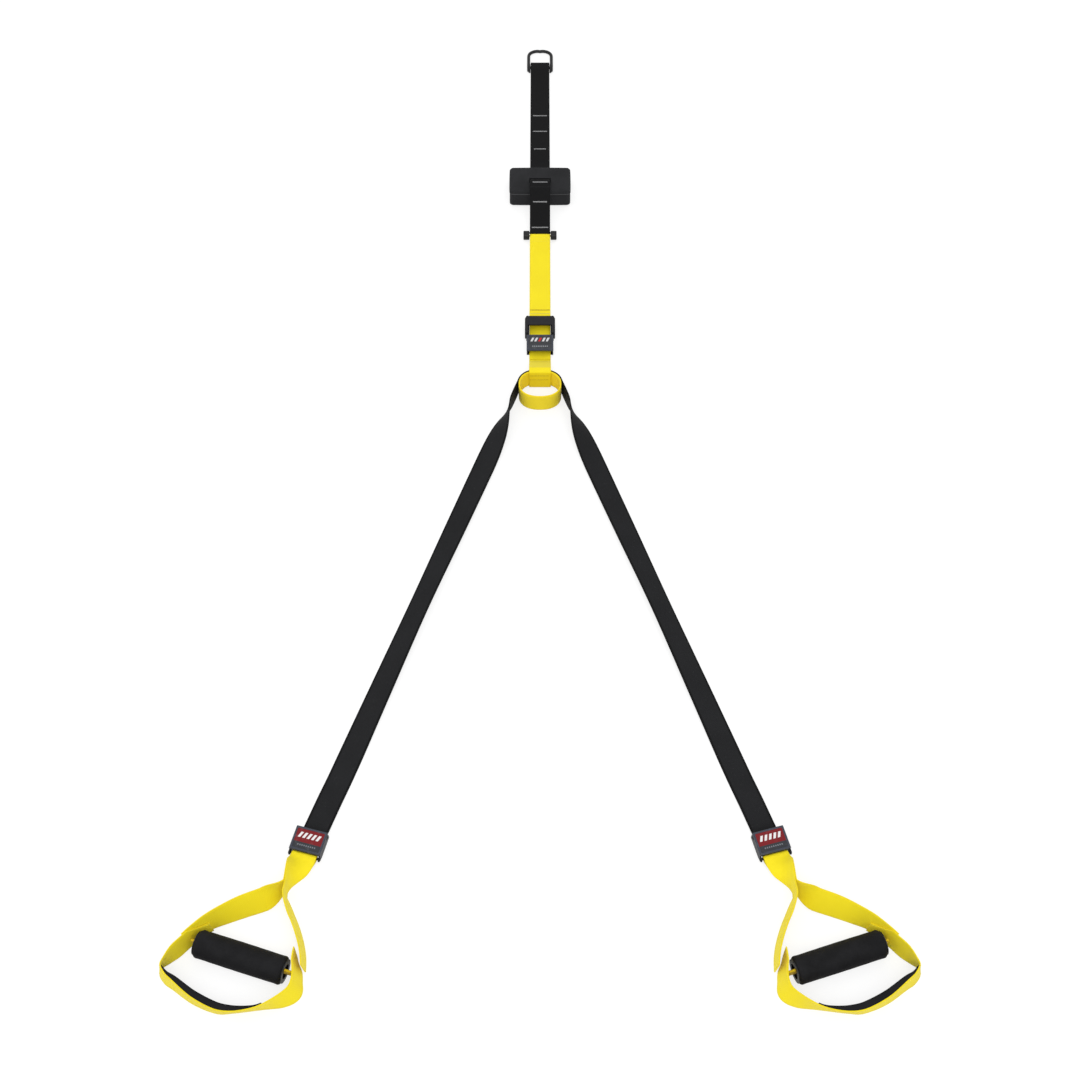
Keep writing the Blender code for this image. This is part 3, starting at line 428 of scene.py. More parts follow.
def makeStitchTree():
    # One thread capsule on every point of a mesh, turned to the point's own aim
    tree = bpy.data.node_groups.new("stitchRows", "GeometryNodeTree")
    for label, kind in (("Geometry", "Geometry"), ("Length", "Float"), ("Radius", "Float"), ("Thread", "Material")):
        tree.interface.new_socket(label, in_out="INPUT", socket_type="NodeSocket" + kind)
    tree.interface.new_socket("Geometry", in_out="OUTPUT", socket_type="NodeSocketGeometry")
    given = addNode(tree, "NodeGroupInput").outputs
    ball = addNode(tree, "GeometryNodeMeshUVSphere", {"Segments": 8, "Rings": 5, "Radius": 0.5})
    width = calc(tree, "MULTIPLY", given["Radius"], 2.0)
    sizes = addNode(tree, "ShaderNodeCombineXYZ", {0: given["Length"], 1: width, 2: width})
    thread = addNode(tree, "GeometryNodeTransform", {"Geometry": ball.outputs["Mesh"], "Scale": sizes.outputs[0]})
    aim = addNode(tree, "GeometryNodeInputNamedAttribute", {"Name": "aim"}, data_type="FLOAT_VECTOR")
    align = addNode(tree, "FunctionNodeAlignRotationToVector", {"Vector": aim.outputs["Attribute"]}, axis="X")
    spread = addNode(tree, "GeometryNodeInstanceOnPoints",
                     {"Points": given["Geometry"], "Instance": thread.outputs["Geometry"],
                      "Rotation": align.outputs["Rotation"]})
    solid = addNode(tree, "GeometryNodeRealizeInstances", {"Geometry": spread.outputs["Instances"]})
    dressed = addNode(tree, "GeometryNodeSetMaterial",
                      {"Geometry": solid.outputs["Geometry"], "Material": given["Thread"]})
    addNode(tree, "NodeGroupOutput", {"Geometry": dressed.outputs["Geometry"]})
    return tree


stitchTree = makeStitchTree()
threadLift = 0.00008


def makeStitches(name, spots, lookName, length, radius):
    # spots are pairs of a point and the direction that its stitch runs in
    mesh = bpy.data.meshes.new(name)
    mesh.from_pydata([tuple(point) for point, _ in spots], [], [])
    aims = mesh.attributes.new("aim", "FLOAT_VECTOR", "POINT")
    aims.data.foreach_set("vector", [value for _, aim in spots for value in aim])
    piece = addObject(name, mesh)
    rows = piece.modifiers.new("stitchRows", "NODES")
    rows.node_group = stitchTree
    given = {"Length": length, "Radius": radius, "Thread": looks[lookName]}
    for socket in stitchTree.interface.items_tree:
        if socket.in_out == "INPUT" and socket.name in given:
            rows[socket.identifier] = given[socket.name]
    bpy.context.view_layer.update()
    applyModifiers(piece)
    piece.data.shade_smooth()
    return piece


def circleRun(centreA, centreB, radius, start, end, steps):
    return [(centreA + radius * cos(turn), centreB + radius * sin(turn)) for turn in spaced(start, end, steps)]


def smoothRun(stations, steps):
    # A curve through every station, with equal steps between them
    run = []
    last = len(stations) - 1
    for i in range(last):
        near = [stations[max(0, min(last, k))] for k in (i - 1, i, i + 1, i + 2)]
        for step in range(steps):
            t = step / steps
            run.append(tuple(0.5 * (2 * b + (c - a) * t + (2 * a - 5 * b + 4 * c - d) * t * t
                                    + (3 * b - a - 3 * c + d) * t ** 3) for a, b, c, d in zip(*near)))
    run.append(tuple(stations[last]))
    return run


def ease(share):
    share = max(0.0, min(1.0, share))
    return share * share * (3 - 2 * share)


def neighbours(run, closed=False):
    # The places before and after each one; an open run's ends stand in for what is missing
    before, after = (run[-1], run[0]) if closed else (run[0], run[-1])
    return zip([before, *run[:-1]], [*run[1:], after])


def tubeRound(path, radii, flat, count):
    # A closed tube; flat is square to the plane that its path lies near
    points = []
    for spot, radius, (before, after) in zip(path, radii, neighbours(path, True)):
        away = (after - before).normalized().cross(flat).normalized()
        points += [spot + away * (radius * cos(turn)) + flat * (radius * sin(turn)) for turn in turns(count)]
    return points, skin(len(path), count, closed=True)


def softPrism(points, faces, outline, middleSpot, low, high, soft):
    # A flat bar along an outline, its upper and lower edges softened
    base, count = len(points), len(outline)
    for height, inset in ((low, soft), (low + soft, 0.0), (high - soft, 0.0), (high, soft)):
        for x, y in outline:
            x += inset if x < middleSpot[0] else -inset
            y += inset if y < middleSpot[1] else -inset
            points.append(Vector((x, y, height)))
    faces += skin(4, count, base) + caps(4, count, base)


# Webbing: a band swept along frames of centre, across and normal

webbing = {"width": 0.038, "thick": 0.0018, "gap": 0.0004, "fit": 0.0003, "across": 10, "edge": 4,
           "finest": 0.0022, "loopSteps": 16}
fit = webbing["fit"]
halfWeb = webbing["width"] / 2
halfThick = webbing["thick"] / 2
layerPitch = webbing["thick"] + webbing["gap"]


def bandOutline(width, thick):
    radius = thick * 0.5
    flat = width / 2 - radius
    count, bends = webbing["across"], webbing["edge"]
    outline = [(place, radius) for place in spaced(-flat, flat, count)]
    outline += circleRun(flat, 0.0, radius, pi / 2, -pi / 2, bends)[1:-1]
    outline += [(place, -radius) for place in spaced(flat, -flat, count)]
    outline += circleRun(-flat, 0.0, radius, -pi / 2, -3 * pi / 2, bends)[1:-1]
    return outline


def squaredFrames(frames, closed=False):
    result = []
    for (centre, across, normal), (before, after) in zip(frames, neighbours(frames, closed)):
        along = (after[0] - before[0]).normalized()
        square = (across - along * across.dot(along)).normalized()
        away = along.cross(square)
        result.append((centre, square, -away if away.dot(normal) < 0 else away))
    return result


def makeBand(name, frames, lookName, closed=False, width=webbing["width"], thick=webbing["thick"], tops=()):
    # tops gives the upper edge of the first rows, where the band is cut at a slant
    outline = bandOutline(width, thick)
    rows, count = len(frames), len(outline)
    frames = squaredFrames(frames, closed)
    distances = [0.0]
    for (a, _, _), (b, _, _) in zip(frames, frames[1:] + frames[:1]):
        distances.append(distances[-1] + (b - a).length)
    points = []
    for row, (centre, across, normal) in enumerate(frames):
        for a, n in outline:
            if row < len(tops):
                a = (a + width / 2) * (tops[row] + width / 2) / width - width / 2
            points.append(centre + across * a + normal * n)
    faces = skin(rows, count, closed=closed)
    places = [a for a, _ in outline]
    cornerUv = []
    for u0, u1 in zip(distances[:len(faces) // count], distances[1:]):
        for va, vb in zip(places, places[1:] + places[:1]):
            cornerUv += [(u0, va), (u0, vb), (u1, vb), (u1, va)]
    if not closed:
        faces += caps(rows, count)
        cornerUv += [(distances[row], a) for row in (0, rows - 1) for a in places]
    return makePiece(name, points, faces, lookName, cornerUv)


def pathNormals(path, closed=False):
    normals = []
    for before, after in neighbours(path, closed):
        dy, dz = after[0] - before[0], after[1] - before[1]
        size = hypot(dy, dz)
        normals.append((-dz / size, dy / size))
    return normals


def middleFrames(path, closed=False):
    return [(Vector((0, y, z)), sideways, Vector((0, ny, nz)))
            for (y, z), (ny, nz) in zip(path, pathNormals(path, closed))]


def loopedPath(base, startRadius, endRadius, looseEnd=0.0):
    # Two layers along a base, joined by a loop at each end
    normals, taper = pathNormals(base), middle["taper"]
    lengths = [0.0]
    for a, b in zip(base, base[1:]):
        lengths.append(lengths[-1] + hypot(b[0] - a[0], b[1] - a[1]))
    upper, lower = [], []
    for (y, z), (ny, nz), done in zip(base, normals, lengths):
        spread = layerPitch / 2
        spread += (startRadius - spread) * (1 - ease((done - startRadius) / taper))
        spread += (endRadius - spread) * (1 - ease((lengths[-1] - done - looseEnd) / taper))
        z = max(z, spread + halfThick)
        upper.append((y + ny * spread, z + nz * spread))
        lower.append((y - ny * spread, z - nz * spread))
    arcs = []
    for index, radius, sign in ((-1, endRadius, 1), (0, startRadius, -1)):
        turn = atan2(sign * normals[index][1], sign * normals[index][0])
        arcs.append(circleRun(*base[index], radius, turn, turn - pi, webbing["loopSteps"])[1:-1])
    return upper, upper + arcs[0] + lower[::-1] + arcs[1]


# Places along the middle, in metres from the floor and from the object's centre

middle = {
    "knobY": 0.45966, "linkOffset": 0.0014, "linkHeight": 0.0084, "pinRadius": 0.0015,
    "anchorLength": 0.4553, "looseEnd": 0.0090, "taper": 0.0350, "ringWire": 0.0050,
    "padDistance": 0.1165, "padDepth": 0.0690, "padHeight": 0.0380, "padWidth": 0.1150, "padEdge": 0.0040,
    "padEntry": 0.0160, "slitForward": 0.0400, "padFall": 0.0450,
    "upperLength": 0.2081, "upperSag": 0.0068, "tail": 0.1500, "topBarBack": 0.05475, "topBarHeight": 0.0095,
    "barRadius": 0.0020, "seamForward": 0.0275, "slingRun": 0.0490, "tailSteps": 90,
}
linkHeight, padHeight, padEntry = middle["linkHeight"], middle["padHeight"], middle["padEntry"]
linkLoop = middle["pinRadius"] + fit + halfThick
barLoop = middle["barRadius"] + fit + halfThick
ringLoop = middle["ringWire"] / 2 + fit + halfThick
yellowPinY = middle["knobY"] - middle["linkOffset"]
blackPinY = yellowPinY + 2 * (linkLoop + halfThick) + webbing["gap"]
ringBarHeight = ringLoop + halfThick
ringBarY = blackPinY + middle["anchorLength"]
padY = middle["knobY"] + middle["padDistance"]
padBackY = padY + middle["padDepth"] / 2
padFrontY = padY - middle["padDepth"] / 2
slitY = padBackY - middle["slitForward"]
doubleHalf = (layerPitch + webbing["thick"]) / 2
padTop = padHeight + fit + doubleHalf
topBarY = yellowPinY - middle["upperLength"]
centrePlateY = topBarY - middle["topBarBack"]
seamY = centrePlateY - middle["seamForward"]
wrapY = seamY - middle["slingRun"]
strapHeight = 0.0034
spanSteps = 12


def anchorBase():
    # Over the pad's front, down through its tunnel, and along the floor to the ring
    rise, climb = padFrontY - blackPinY, padTop - linkHeight
    edge, fall, taper = middle["padEdge"], middle["padFall"], middle["taper"]
    inside = (padHeight - padEntry) / (padBackY - slitY)
    return smoothRun([
        (blackPinY, linkHeight),
        (blackPinY + rise * 0.30, linkHeight + climb * 0.15),
        (blackPinY + rise * 0.70, linkHeight + climb * 0.66),
        (padFrontY + edge * 0.5, padTop + fit),
        (padFrontY + edge * 3, padTop),
        (slitY - edge * 1.3, padTop),
        (slitY + edge, padHeight - inside * edge),
        (padBackY - edge, padEntry + inside * edge),
        (padBackY + edge, padEntry - inside * edge * 0.8),
        (padBackY + fall * 0.5, padEntry * 0.35),
        (padBackY + fall, doubleHalf),
        (padBackY + fall * 2, doubleHalf),
        ((padBackY + ringBarY) / 2, doubleHalf),
        (ringBarY - taper * 1.6, doubleHalf),
        (ringBarY - taper * 0.5, (doubleHalf + ringBarHeight) / 2),
        (ringBarY, ringBarHeight),
        (ringBarY + middle["looseEnd"], ringBarHeight),
    ], spanSteps)


def makeAnchorStrap():
    upper, path = loopedPath(anchorBase(), linkLoop, ringLoop, middle["looseEnd"])
    showAs(makeBand("anchorWebbing", middleFrames(path, True), "anchorWebbing", closed=True),
           "anchor", "black_webbing", "anchor_strap")
    return upper


ringWireSpec = {"reach": 0.0515, "half": 0.0232, "radius": 0.0032, "barRadius": 0.0025, "arch": 0.0190,
                "power": 2.5, "corner": 0.0044, "cornerCut": 0.3, "cornerRun": 2.2, "dent": 0.0011,
                "dentHalf": 0.0030, "steps": 40, "sides": 20, "barPlaces": (-1.0, -0.82, -0.4, 0.0, 0.4, 0.82, 1.0),
                "thinTo": 0.9, "thinRun": 0.2}


def makeRingWire():
    # A bent wire, thinner where its bar lies in the strap's loop, with a slight dent where its ends meet
    spec = ringWireSpec
    half, reach, corner, power = spec["half"], spec["reach"], spec["corner"], spec["power"]
    cut, run = corner * spec["cornerCut"], corner * spec["cornerRun"]
    outline = [(x * (half - corner), 0.0) for x in spec["barPlaces"]] + [(half - cut, cut), (half, corner), (half, run)]
    for i in range(spec["steps"] + 1):
        turn = pi * i / spec["steps"]
        x = half * abs(cos(turn)) ** (2 / power) * (1 if turn < pi / 2 else -1)
        rise = reach - spec["arch"] * (1 - max(0.0, sin(turn)) ** (2 / power))
        outline.append((x, rise - spec["dent"] * exp(-(x / spec["dentHalf"]) ** 2)))
    outline += [(-half, run), (-half, corner), (-half + cut, cut)]
    tilt = (ringBarHeight - spec["radius"]) / reach
    path = [Vector((x, ringBarY + along, ringBarHeight - tilt * along)) for x, along in outline]
    radii = []
    for spot in path:
        fuller = 1.0
        if spot.y < ringBarY + corner:
            fuller = ease((abs(spot.x) - halfWeb * spec["thinTo"]) / (halfWeb * spec["thinRun"]))
        radii.append(spec["barRadius"] + (spec["radius"] - spec["barRadius"]) * fuller)
    points, faces = tubeRound(path, radii, Vector((0, tilt, 1)).normalized(), spec["sides"])
    showAs(makePiece("ringWire", points, faces, "steel"), "anchor_ring", "steel", "anchor_ring")


cheekSpec = {"inner": 0.0194, "outer": 0.0262, "back": 0.0120, "front": 0.0080, "half": 0.0032,
             "chamfer": 0.0050, "nick": 0.0010, "soft": 0.0006}


def makeRingCheeks():
    # Moulded cheeks on the ring's bar, at both sides of the strap
    spec = cheekSpec
    inner, outer, back, front, chamfer, nick = (spec[key] for key in
                                                ("inner", "outer", "back", "front", "chamfer", "nick"))
    points, faces = [], []
    for _, side in sides:
        outline = ((inner, -back), (outer - chamfer, -back), (outer, chamfer - back), (outer, front - nick),
                   (outer - nick, front), (inner, front))
        softPrism(points, faces, [(side * x, ringBarY + y) for x, y in outline],
                  (side * (inner + outer) / 2, ringBarY), ringBarHeight - spec["half"],
                  ringBarHeight + spec["half"], spec["soft"])
    showAs(makePiece("ringCheeks", points, faces, "plastic"), "anchor_ring", "steel")


def heightAt(path, y):
    # Height of a path of (y, z) pairs at a place along the object
    for (y0, z0), (y1, z1) in zip(path, path[1:]):
        if min(y0, y1) <= y <= max(y0, y1) and y0 != y1:
            return z0 + (z1 - z0) * (y - y0) / (y1 - y0)
    return path[-1][1]


tackSpec = {"rows": ((0.7832, 0.0134), (0.7394, 0.0134), (0.6908, 0.0113), (0.5629, 0.0135), (0.5215, 0.0127),
                     (0.4752, 0.0150)),
            "pitch": 0.00085, "length": 0.0030, "radius": 0.00042, "lift": 0.00015, "waver": 0.0002,
            "waverTurn": 2.4, "slopeReach": 0.0015}


def makeAnchorTacks(upper):
    spec, spots = tackSpec, []
    reach = spec["slopeReach"]
    for y, half in spec["rows"]:
        aim = Vector((0, 2 * reach, heightAt(upper, y + reach) - heightAt(upper, y - reach))).normalized()
        rise = heightAt(upper, y) + halfThick + spec["lift"]
        count = int(2 * half / spec["pitch"])
        spots += [(Vector((x, y + spec["waver"] * sin(i * spec["waverTurn"]), rise)), aim)
                  for i, x in enumerate(spaced(-half, half, count))]
    showAs(makeStitches("anchorTacks", spots, "paleThread", spec["length"], spec["radius"]),
           "anchor", "black_webbing")


padSpec = {"steps": 26, "round": 0.0058, "sag": 0.0020, "pull": 0.0006, "margin": 0.0012, "tunnelReach": 0.016,
           "piping": 0.00075, "pipes": (("Top", 0.74), ("Bottom", -0.80)), "pipeSteps": 240, "pipeSides": 8}


def padPoint(direction):
    # A box with round edges; its top sags and its sides draw in toward the corners
    half = Vector((middle["padWidth"] / 2, middle["padDepth"] / 2, padHeight / 2))
    radius = padSpec["round"]
    spot = Vector([direction[k] * half[k] for k in range(3)])
    core = Vector([max(-(half[k] - radius), min(half[k] - radius, spot[k])) for k in range(3)])
    away = spot - core
    if away.length > 0:
        spot = core + away.normalized() * radius
    x, y = abs(direction[0]), abs(direction[1])
    if direction[2] > 0:
        spot.z -= padSpec["sag"] * max(x, y) ** 4 * direction[2]
    spot.x *= 1 - padSpec["pull"] / half.x * y ** 3
    spot.y *= 1 - padSpec["pull"] / half.y * x ** 3
    return spot + Vector((0, padY, half.z))


def makeDoorPad():
    work = bmesh.new()
    bmesh.ops.create_cube(work, size=2.0)
    bmesh.ops.subdivide_edges(work, edges=work.edges[:], cuts=padSpec["steps"], use_grid_fill=True)
    for vertex in work.verts:
        # rows crowd toward the edges, where the cloth turns
        vertex.co = padPoint([sin(value * pi / 2) for value in vertex.co])
    mesh = bpy.data.meshes.new("doorPad")
    work.to_mesh(mesh)
    work.free()
    mesh.shade_smooth()
    mesh.materials.append(looks["padCloth"])
    pad = addObject("doorPad", mesh)
    start, end = Vector((0, padBackY, padEntry)), Vector((0, slitY, padHeight))
    along = (end - start).normalized()
    lift = Vector((0, -along.z, along.y)) * (doubleHalf + padSpec["margin"])
    half = Vector((halfWeb + padSpec["margin"], 0, 0))
    reach = along * padSpec["tunnelReach"]
    points = [spot + a * half + b * lift for spot in (start - reach, end + reach)
              for a, b in ((-1, -1), (1, -1), (1, 1), (-1, 1))]
    cutter = makePiece("tunnelCutter", points, caps(2, 4) + skin(2, 4), "padCloth")
    cut = pad.modifiers.new("tunnel", "BOOLEAN")
    cut.object = cutter
    cut.solver = "EXACT"
    applyModifiers(pad)
    bpy.data.objects.remove(cutter, do_unlink=True)
    pad.data.set_sharp_from_angle(angle=radians(60))
    showAs(pad, "anchor", "pad_cover", "door_pad_cover", "door_pad_foam")


def makePadPiping():
    for name, height in padSpec["pipes"]:
        ring = []
        for turn in turns(padSpec["pipeSteps"]):
            size = max(abs(cos(turn)), abs(sin(turn)))
            ring.append(padPoint((cos(turn) / size, sin(turn) / size, height)))
        points, faces = tubeRound(ring, [padSpec["piping"]] * len(ring), upward, padSpec["pipeSides"])
        showAs(makePiece("padPiping" + name, points, faces, "padPipe"), "anchor", "pad_cover")


def makeUpperStrap():
    sag, barHeight = middle["upperSag"], middle["topBarHeight"]
    stations = ((0.00, linkHeight), (0.12, (linkHeight + sag) / 2), (0.30, sag), (0.70, sag),
                (0.88, (barHeight + sag) / 2), (1.00, barHeight))
    base = smoothRun([(yellowPinY - middle["upperLength"] * share, z) for share, z in stations], spanSteps)
    upper, path = loopedPath(base, linkLoop, barLoop)
    showAs(makeBand("upperWebbing", middleFrames(path, True), "yellowWebbing", closed=True),
           "upper_strap", "yellow_webbing", "upper_main_strap")
    # the path runs toward -Y, so its "upper" layer is the one below
    return [(y, 2 * z - low) for (y, low), (_, z) in zip(upper, base)]


upperSeamAndShadowSpecs = (
    # not thread: a double brown line of painted shadow along the edge of the strap's folded end
    {"name": "upperFoldShadow", "y": 0.2761, "half": 0.0165, "look": "brownShadowLine", "pitch": 0.0026, "length": 0.0029,
     "radius": 0.00040, "rows": 2, "rowPitch": 0.0009},
    {"name": "upperSeam", "y": 0.2672, "half": 0.0160, "look": "paleThread", "pitch": 0.0027, "length": 0.0024,
     "radius": 0.00028, "rows": 1, "rowPitch": 0.0},
    {"name": "upperEye", "y": 0.4428, "half": 0.0160, "look": "yellowThread", "pitch": 0.0026, "length": 0.0023,
     "radius": 0.00028, "rows": 3, "rowPitch": 0.0042},
)


def makeUpperSeamsAndFoldShadow(lifted):
    # rows of stitches across the upper strap, and a brown line of painted shadow at its folded end
    for spec in upperSeamAndShadowSpecs:
        spots, half = [], spec["half"]
        count = int(2 * half / spec["pitch"])
        for row in range(spec["rows"]):
            y = spec["y"] + row * spec["rowPitch"]
            rise = heightAt(lifted, y) + halfThick + threadLift
            spots += [(Vector((x, y, rise)), sideways) for x in spaced(-half, half, count)]
        showAs(makeStitches(spec["name"], spots, spec["look"], spec["length"], spec["radius"]),
               "upper_strap", "yellow_webbing")


def makeLowerStrap():
    path = [(y, strapHeight) for y in spaced(seamY + halfThick + fit, topBarY + middle["tail"], middle["tailSteps"])]
    showAs(makeBand("lowerWebbing", middleFrames(path), "yellowWebbing"),
           "lower_strap", "yellow_webbing", "lower_main_strap")


# Stabiliser ring, sling and the leg strap round the ring's back

ringSpec = {"width": 0.0740, "depth": 0.0570, "wall": 0.0028, "power": 2.3, "steps": 160, "lead": 0.0030,
            "bend": 0.0012, "bendSteps": 6, "returnGap": 0.0035, "legLead": 0.0040}
bandY = wrapY - webbing["thick"] - webbing["gap"] - ringSpec["depth"] / 2
bandLift = webbing["thick"] + 2 * fit


def bandPoint(turn, offset):
    # A place on the ring's rounded outline, moved outward by the offset
    power, spot, away = ringSpec["power"], [], []
    for half, part in ((ringSpec["width"] / 2, cos(turn)), (ringSpec["depth"] / 2, sin(turn))):
        sign = 1 if part >= 0 else -1
        spot.append(half * abs(part) ** (2 / power) * sign)
        away.append(abs(spot[-1]) ** (power - 1) / half ** power * sign)
    size = hypot(*away)
    return spot[0] + away[0] / size * offset, bandY + spot[1] + away[1] / size * offset


def ringLift(y):
    front = bandY - ringSpec["depth"] / 2
    return bandLift * max(0.0, min(1.0, (y - front) / ringSpec["depth"]))


def uprightFrames(path, closed=False):
    frames = []
    for (x, y), (before, after) in zip(path, neighbours(path, closed)):
        along = Vector((after[0] - before[0], after[1] - before[1], 0)).normalized()
        frames.append((Vector((x, y, ringLift(y) + halfWeb)), upward, along.cross(upward)))
    return frames


def makeStabiliserRing():
    path = [bandPoint(turn, -ringSpec["wall"] / 2) for turn in turns(ringSpec["steps"])]
    # the ring's look is the yellow webbing made brighter: painted light on its walls
    showAs(makeBand("ringBand", uprightFrames(path, True), "litRingWebbing", closed=True, thick=ringSpec["wall"]),
           "yoke", "yellow_webbing", "stabiliser_ring")


# two brown rows inside the sling: painted shade along its folds
slingFoldShadows = {"start": -0.0160, "pitch": 0.0027, "count": 12, "heights": (0.0335, 0.0225), "lift": 0.0001,
              "length": 0.0024, "radius": 0.0003}


def makeSling():
    bandTop = bandLift + webbing["width"]
    reach = 2 * fit + halfThick
    power, bend, steps = ringSpec["power"], ringSpec["bend"], ringSpec["bendSteps"]
    bow = ringSpec["depth"] / 2 * (1 - (1 - (webbing["width"] / ringSpec["width"]) ** power) ** (1 / power))
    innerY = wrapY - webbing["thick"] - webbing["gap"] - ringSpec["wall"] - bow
    slope = atan2(bandTop - strapHeight, seamY - wrapY)
    corners = [(seamY, strapHeight), (seamY - ringSpec["lead"], strapHeight + fit)]
    corners += circleRun(wrapY, bandTop, reach, pi / 2 - slope, pi / 2, steps)
    corners += circleRun(innerY, bandTop, reach, pi / 2, pi, steps)
    corners += circleRun(innerY - reach + bend, halfThick + bend, bend, pi, 1.5 * pi, steps)
    corners.append((seamY - ringSpec["returnGap"], halfThick))
    path = []
    for a, b in zip(corners, corners[1:]):
        count = max(1, int(hypot(b[0] - a[0], b[1] - a[1]) / webbing["finest"]))
        path += [(a[0] + (b[0] - a[0]) * i / count, a[1] + (b[1] - a[1]) * i / count) for i in range(count)]
    path.append(corners[-1])
    showAs(makeBand("slingWebbing", middleFrames(path), "yellowWebbing"), "yoke", "yellow_webbing", "sling_strap")
    # brown rows of painted shade along the sling's folds, drawn as stitches
    seam = slingFoldShadows
    inside = innerY - reach - halfThick - seam["lift"]
    spots = [(Vector((seam["start"] + seam["pitch"] * i, inside, height)), sideways)
             for height in seam["heights"] for i in range(seam["count"])]
    showAs(makeStitches("slingFoldShadows", spots, "brownShadowLine", seam["length"], seam["radius"]),
           "yoke", "yellow_webbing")


# Leg straps

splay = radians(19.9)
legSpec = {"length": 0.8760, "tail": 0.0100, "twistRun": 0.1900, "levelRun": 0.0620,
           "riseRun": 0.0500, "skew": radians(5.0), "barForward": 0.0205, "barHeight": 0.0088, "tailSteps": 40}
twistShares = ((0.00, 0.00), (0.20, 0.02), (0.32, 0.28), (0.42, 0.50), (0.53, 0.69), (0.66, 0.83), (0.80, 0.91),
               (1.00, 0.92))
rollShares = ((0.18, 0.86), (0.43, 0.76), (0.70, 0.88), (0.88, 1.00), (1.00, 1.00))


def tangentTurn():
    ratio = ringSpec["depth"] / ringSpec["width"] * tan(splay)
    return atan(ratio ** (ringSpec["power"] / (2 * (ringSpec["power"] - 1))))


def legDirection(side):
    return Vector((side * sin(splay), -cos(splay), 0))


def legStart(side):
    x, y = bandPoint(tangentTurn(), webbing["gap"] + halfThick)
    lead = ringSpec["legLead"]
    return Vector((side * (x + lead * sin(splay)), y - lead * cos(splay), 0))


def makeWrap():
    start = tangentTurn()
    path = [bandPoint(turn, webbing["gap"] + halfThick) for turn in spaced(start, pi - start, ringSpec["steps"] // 2)]
    stop = ringSpec["legLead"] - halfThick - fit
    right, left = ((x + legDirection(side).x * stop, y + legDirection(side).y * stop)
                   for side, (x, y) in ((1, path[0]), (-1, path[-1])))
    showAs(makeBand("wrapWebbing", uprightFrames([right, *path, left]), "blackWebbing"),
           "yoke", "black_webbing", "leg_strap_wrap")


def turned(first, second, turn):
    # Two square directions, turned from the first toward the second
    return first * cos(turn) + second * sin(turn), second * cos(turn) - first * sin(turn)


def legFrames(side):
    start, along = legStart(side), legDirection(side)
    outward = Vector((side * cos(splay), sin(splay), 0))
    startLift = ringLift(start.y)
    twist, rise = legSpec["twistRun"], legSpec["riseRun"]
    level = legSpec["length"] - legSpec["levelRun"]
    stations = [(twist * a, b) for a, b in twistShares]
    stations += [(twist + (level - twist) * a, b) for a, b in rollShares]
    endAt = legSpec["length"] + legSpec["barForward"] + legSpec["tail"]
    run = smoothRun(stations, 4 * spanSteps)
    run += [(distance, 1.0) for distance in spaced(level, endAt, legSpec["tailSteps"])[1:]]
    frames = []
    for distance, share in run:
        lean = -pi / 2 * min(1.0, share)
        lift = startLift * (1 - ease(distance / (twist / 2)))
        lift += (strapHeight - halfThick) * ease((distance - level + rise) / rise)
        height = lift + halfWeb * cos(lean) + halfThick * sin(-lean)
        frames.append((start + along * distance + upward * height, *turned(upward, outward, lean)))
    return frames


def makeLeg(sideName, side):
    showAs(makeBand("legWebbing_" + sideName, legFrames(side), "blackWebbing"),
           "leg_" + sideName, "black_webbing", "leg_strap_" + sideName)


def plateMatrix(side):
    spot = legStart(side) + legDirection(side) * legSpec["length"]
    turn = Matrix.Rotation(side * (splay - legSpec["skew"]), 4, "Z")
    return Matrix.Translation((spot.x, spot.y, 0)) @ turn


def lowerBar(side):
    # Its place on the floor, and the directions outward and backward
    matrix = plateMatrix(side)
    outward, back = (matrix.to_3x3() @ Vector(aim) for aim in ((side, 0, 0), (0, 1, 0)))
    return matrix @ Vector((0, -legSpec["barForward"], 0)), outward.normalized(), back.normalized()


# Handles: their webbing follows places given as shares of a handle's width and length, with a lean and a lift

handleSpec = {"width": 0.2000, "length": 0.2220, "pinchLift": 0.0048, "barTaper": 0.35, "narrowing": 0.10,
              "narrowPower": 4, "narrowStart": 0.8, "barSteps": 16, "foldFrom": 31, "foldTo": 9, "foldSteps": 22}
slantSpec = {"start": 0.0012, "frames": 20, "inset": 0.0024, "low": -0.0165}
pinchShares = (0.109, 0.249)
loopMiddleShares = (0.45, 0.72)
outerShares = ((0.175, 0.2819, 42, 1.0), (0.2799, 0.316, 42, 0.9), (0.4025, 0.3528, 38, 0.3),
               (0.5211, 0.4007, 28, 0.0), (0.6296, 0.4536, 18, 0.0), (0.7197, 0.5212, 15, 0.0),
               (0.7754, 0.5697, 13, 0.0))
innerShares = ((0.1051, 0.2821, -1.5, 1.0), (0.0867, 0.329, -7, 0.9), (0.0524, 0.4017, -10.5, 0.4),
               (0.0148, 0.4714, -10, 0.0), (-0.0268, 0.5681, -8.5, 0.0), (-0.0543, 0.6614, -6, 0.0),
               (-0.065, 0.7497, -3, 0.0))
footShares = ((0.6207, 0.4601, 18, 0.0), (0.712, 0.5285, 15, 0.0), (0.7658, 0.5752, 13, 0.0),
              (0.8315, 0.6359, 13, 0.0), (0.8792, 0.6852, 3, 0.0), (0.9255, 0.7459, -11.5, 0.0),
              (0.8906, 0.8054, -12, 0.0), (0.8269, 0.8504, -8.5, 0.0), (0.6788, 0.9465, -3, 0.0),
              (0.5172, 1.01, 4, 0.0), (0.4045, 1.017, 11, 0.0), (0.2861, 1.005, 11, 0.0),
              (0.1869, 0.985, 4.5, 0.0), (0.0632, 0.9451, -14.5, 0.0), (-0.0159, 0.892, -23.5, 0.0),
              (-0.0287, 0.8135, -16, 0.0), (-0.0228, 0.7579, -14.5, 0.0), (-0.0063, 0.704, -8, 0.0),
              (0.0022, 0.6361, 2.5, 0.0))


def handleSpot(side, acrossShare, downShare):
    spec = handleSpec
    return lowerBar(side)[0] + Vector((side * spec["width"] * acrossShare, -spec["length"] * downShare, 0))


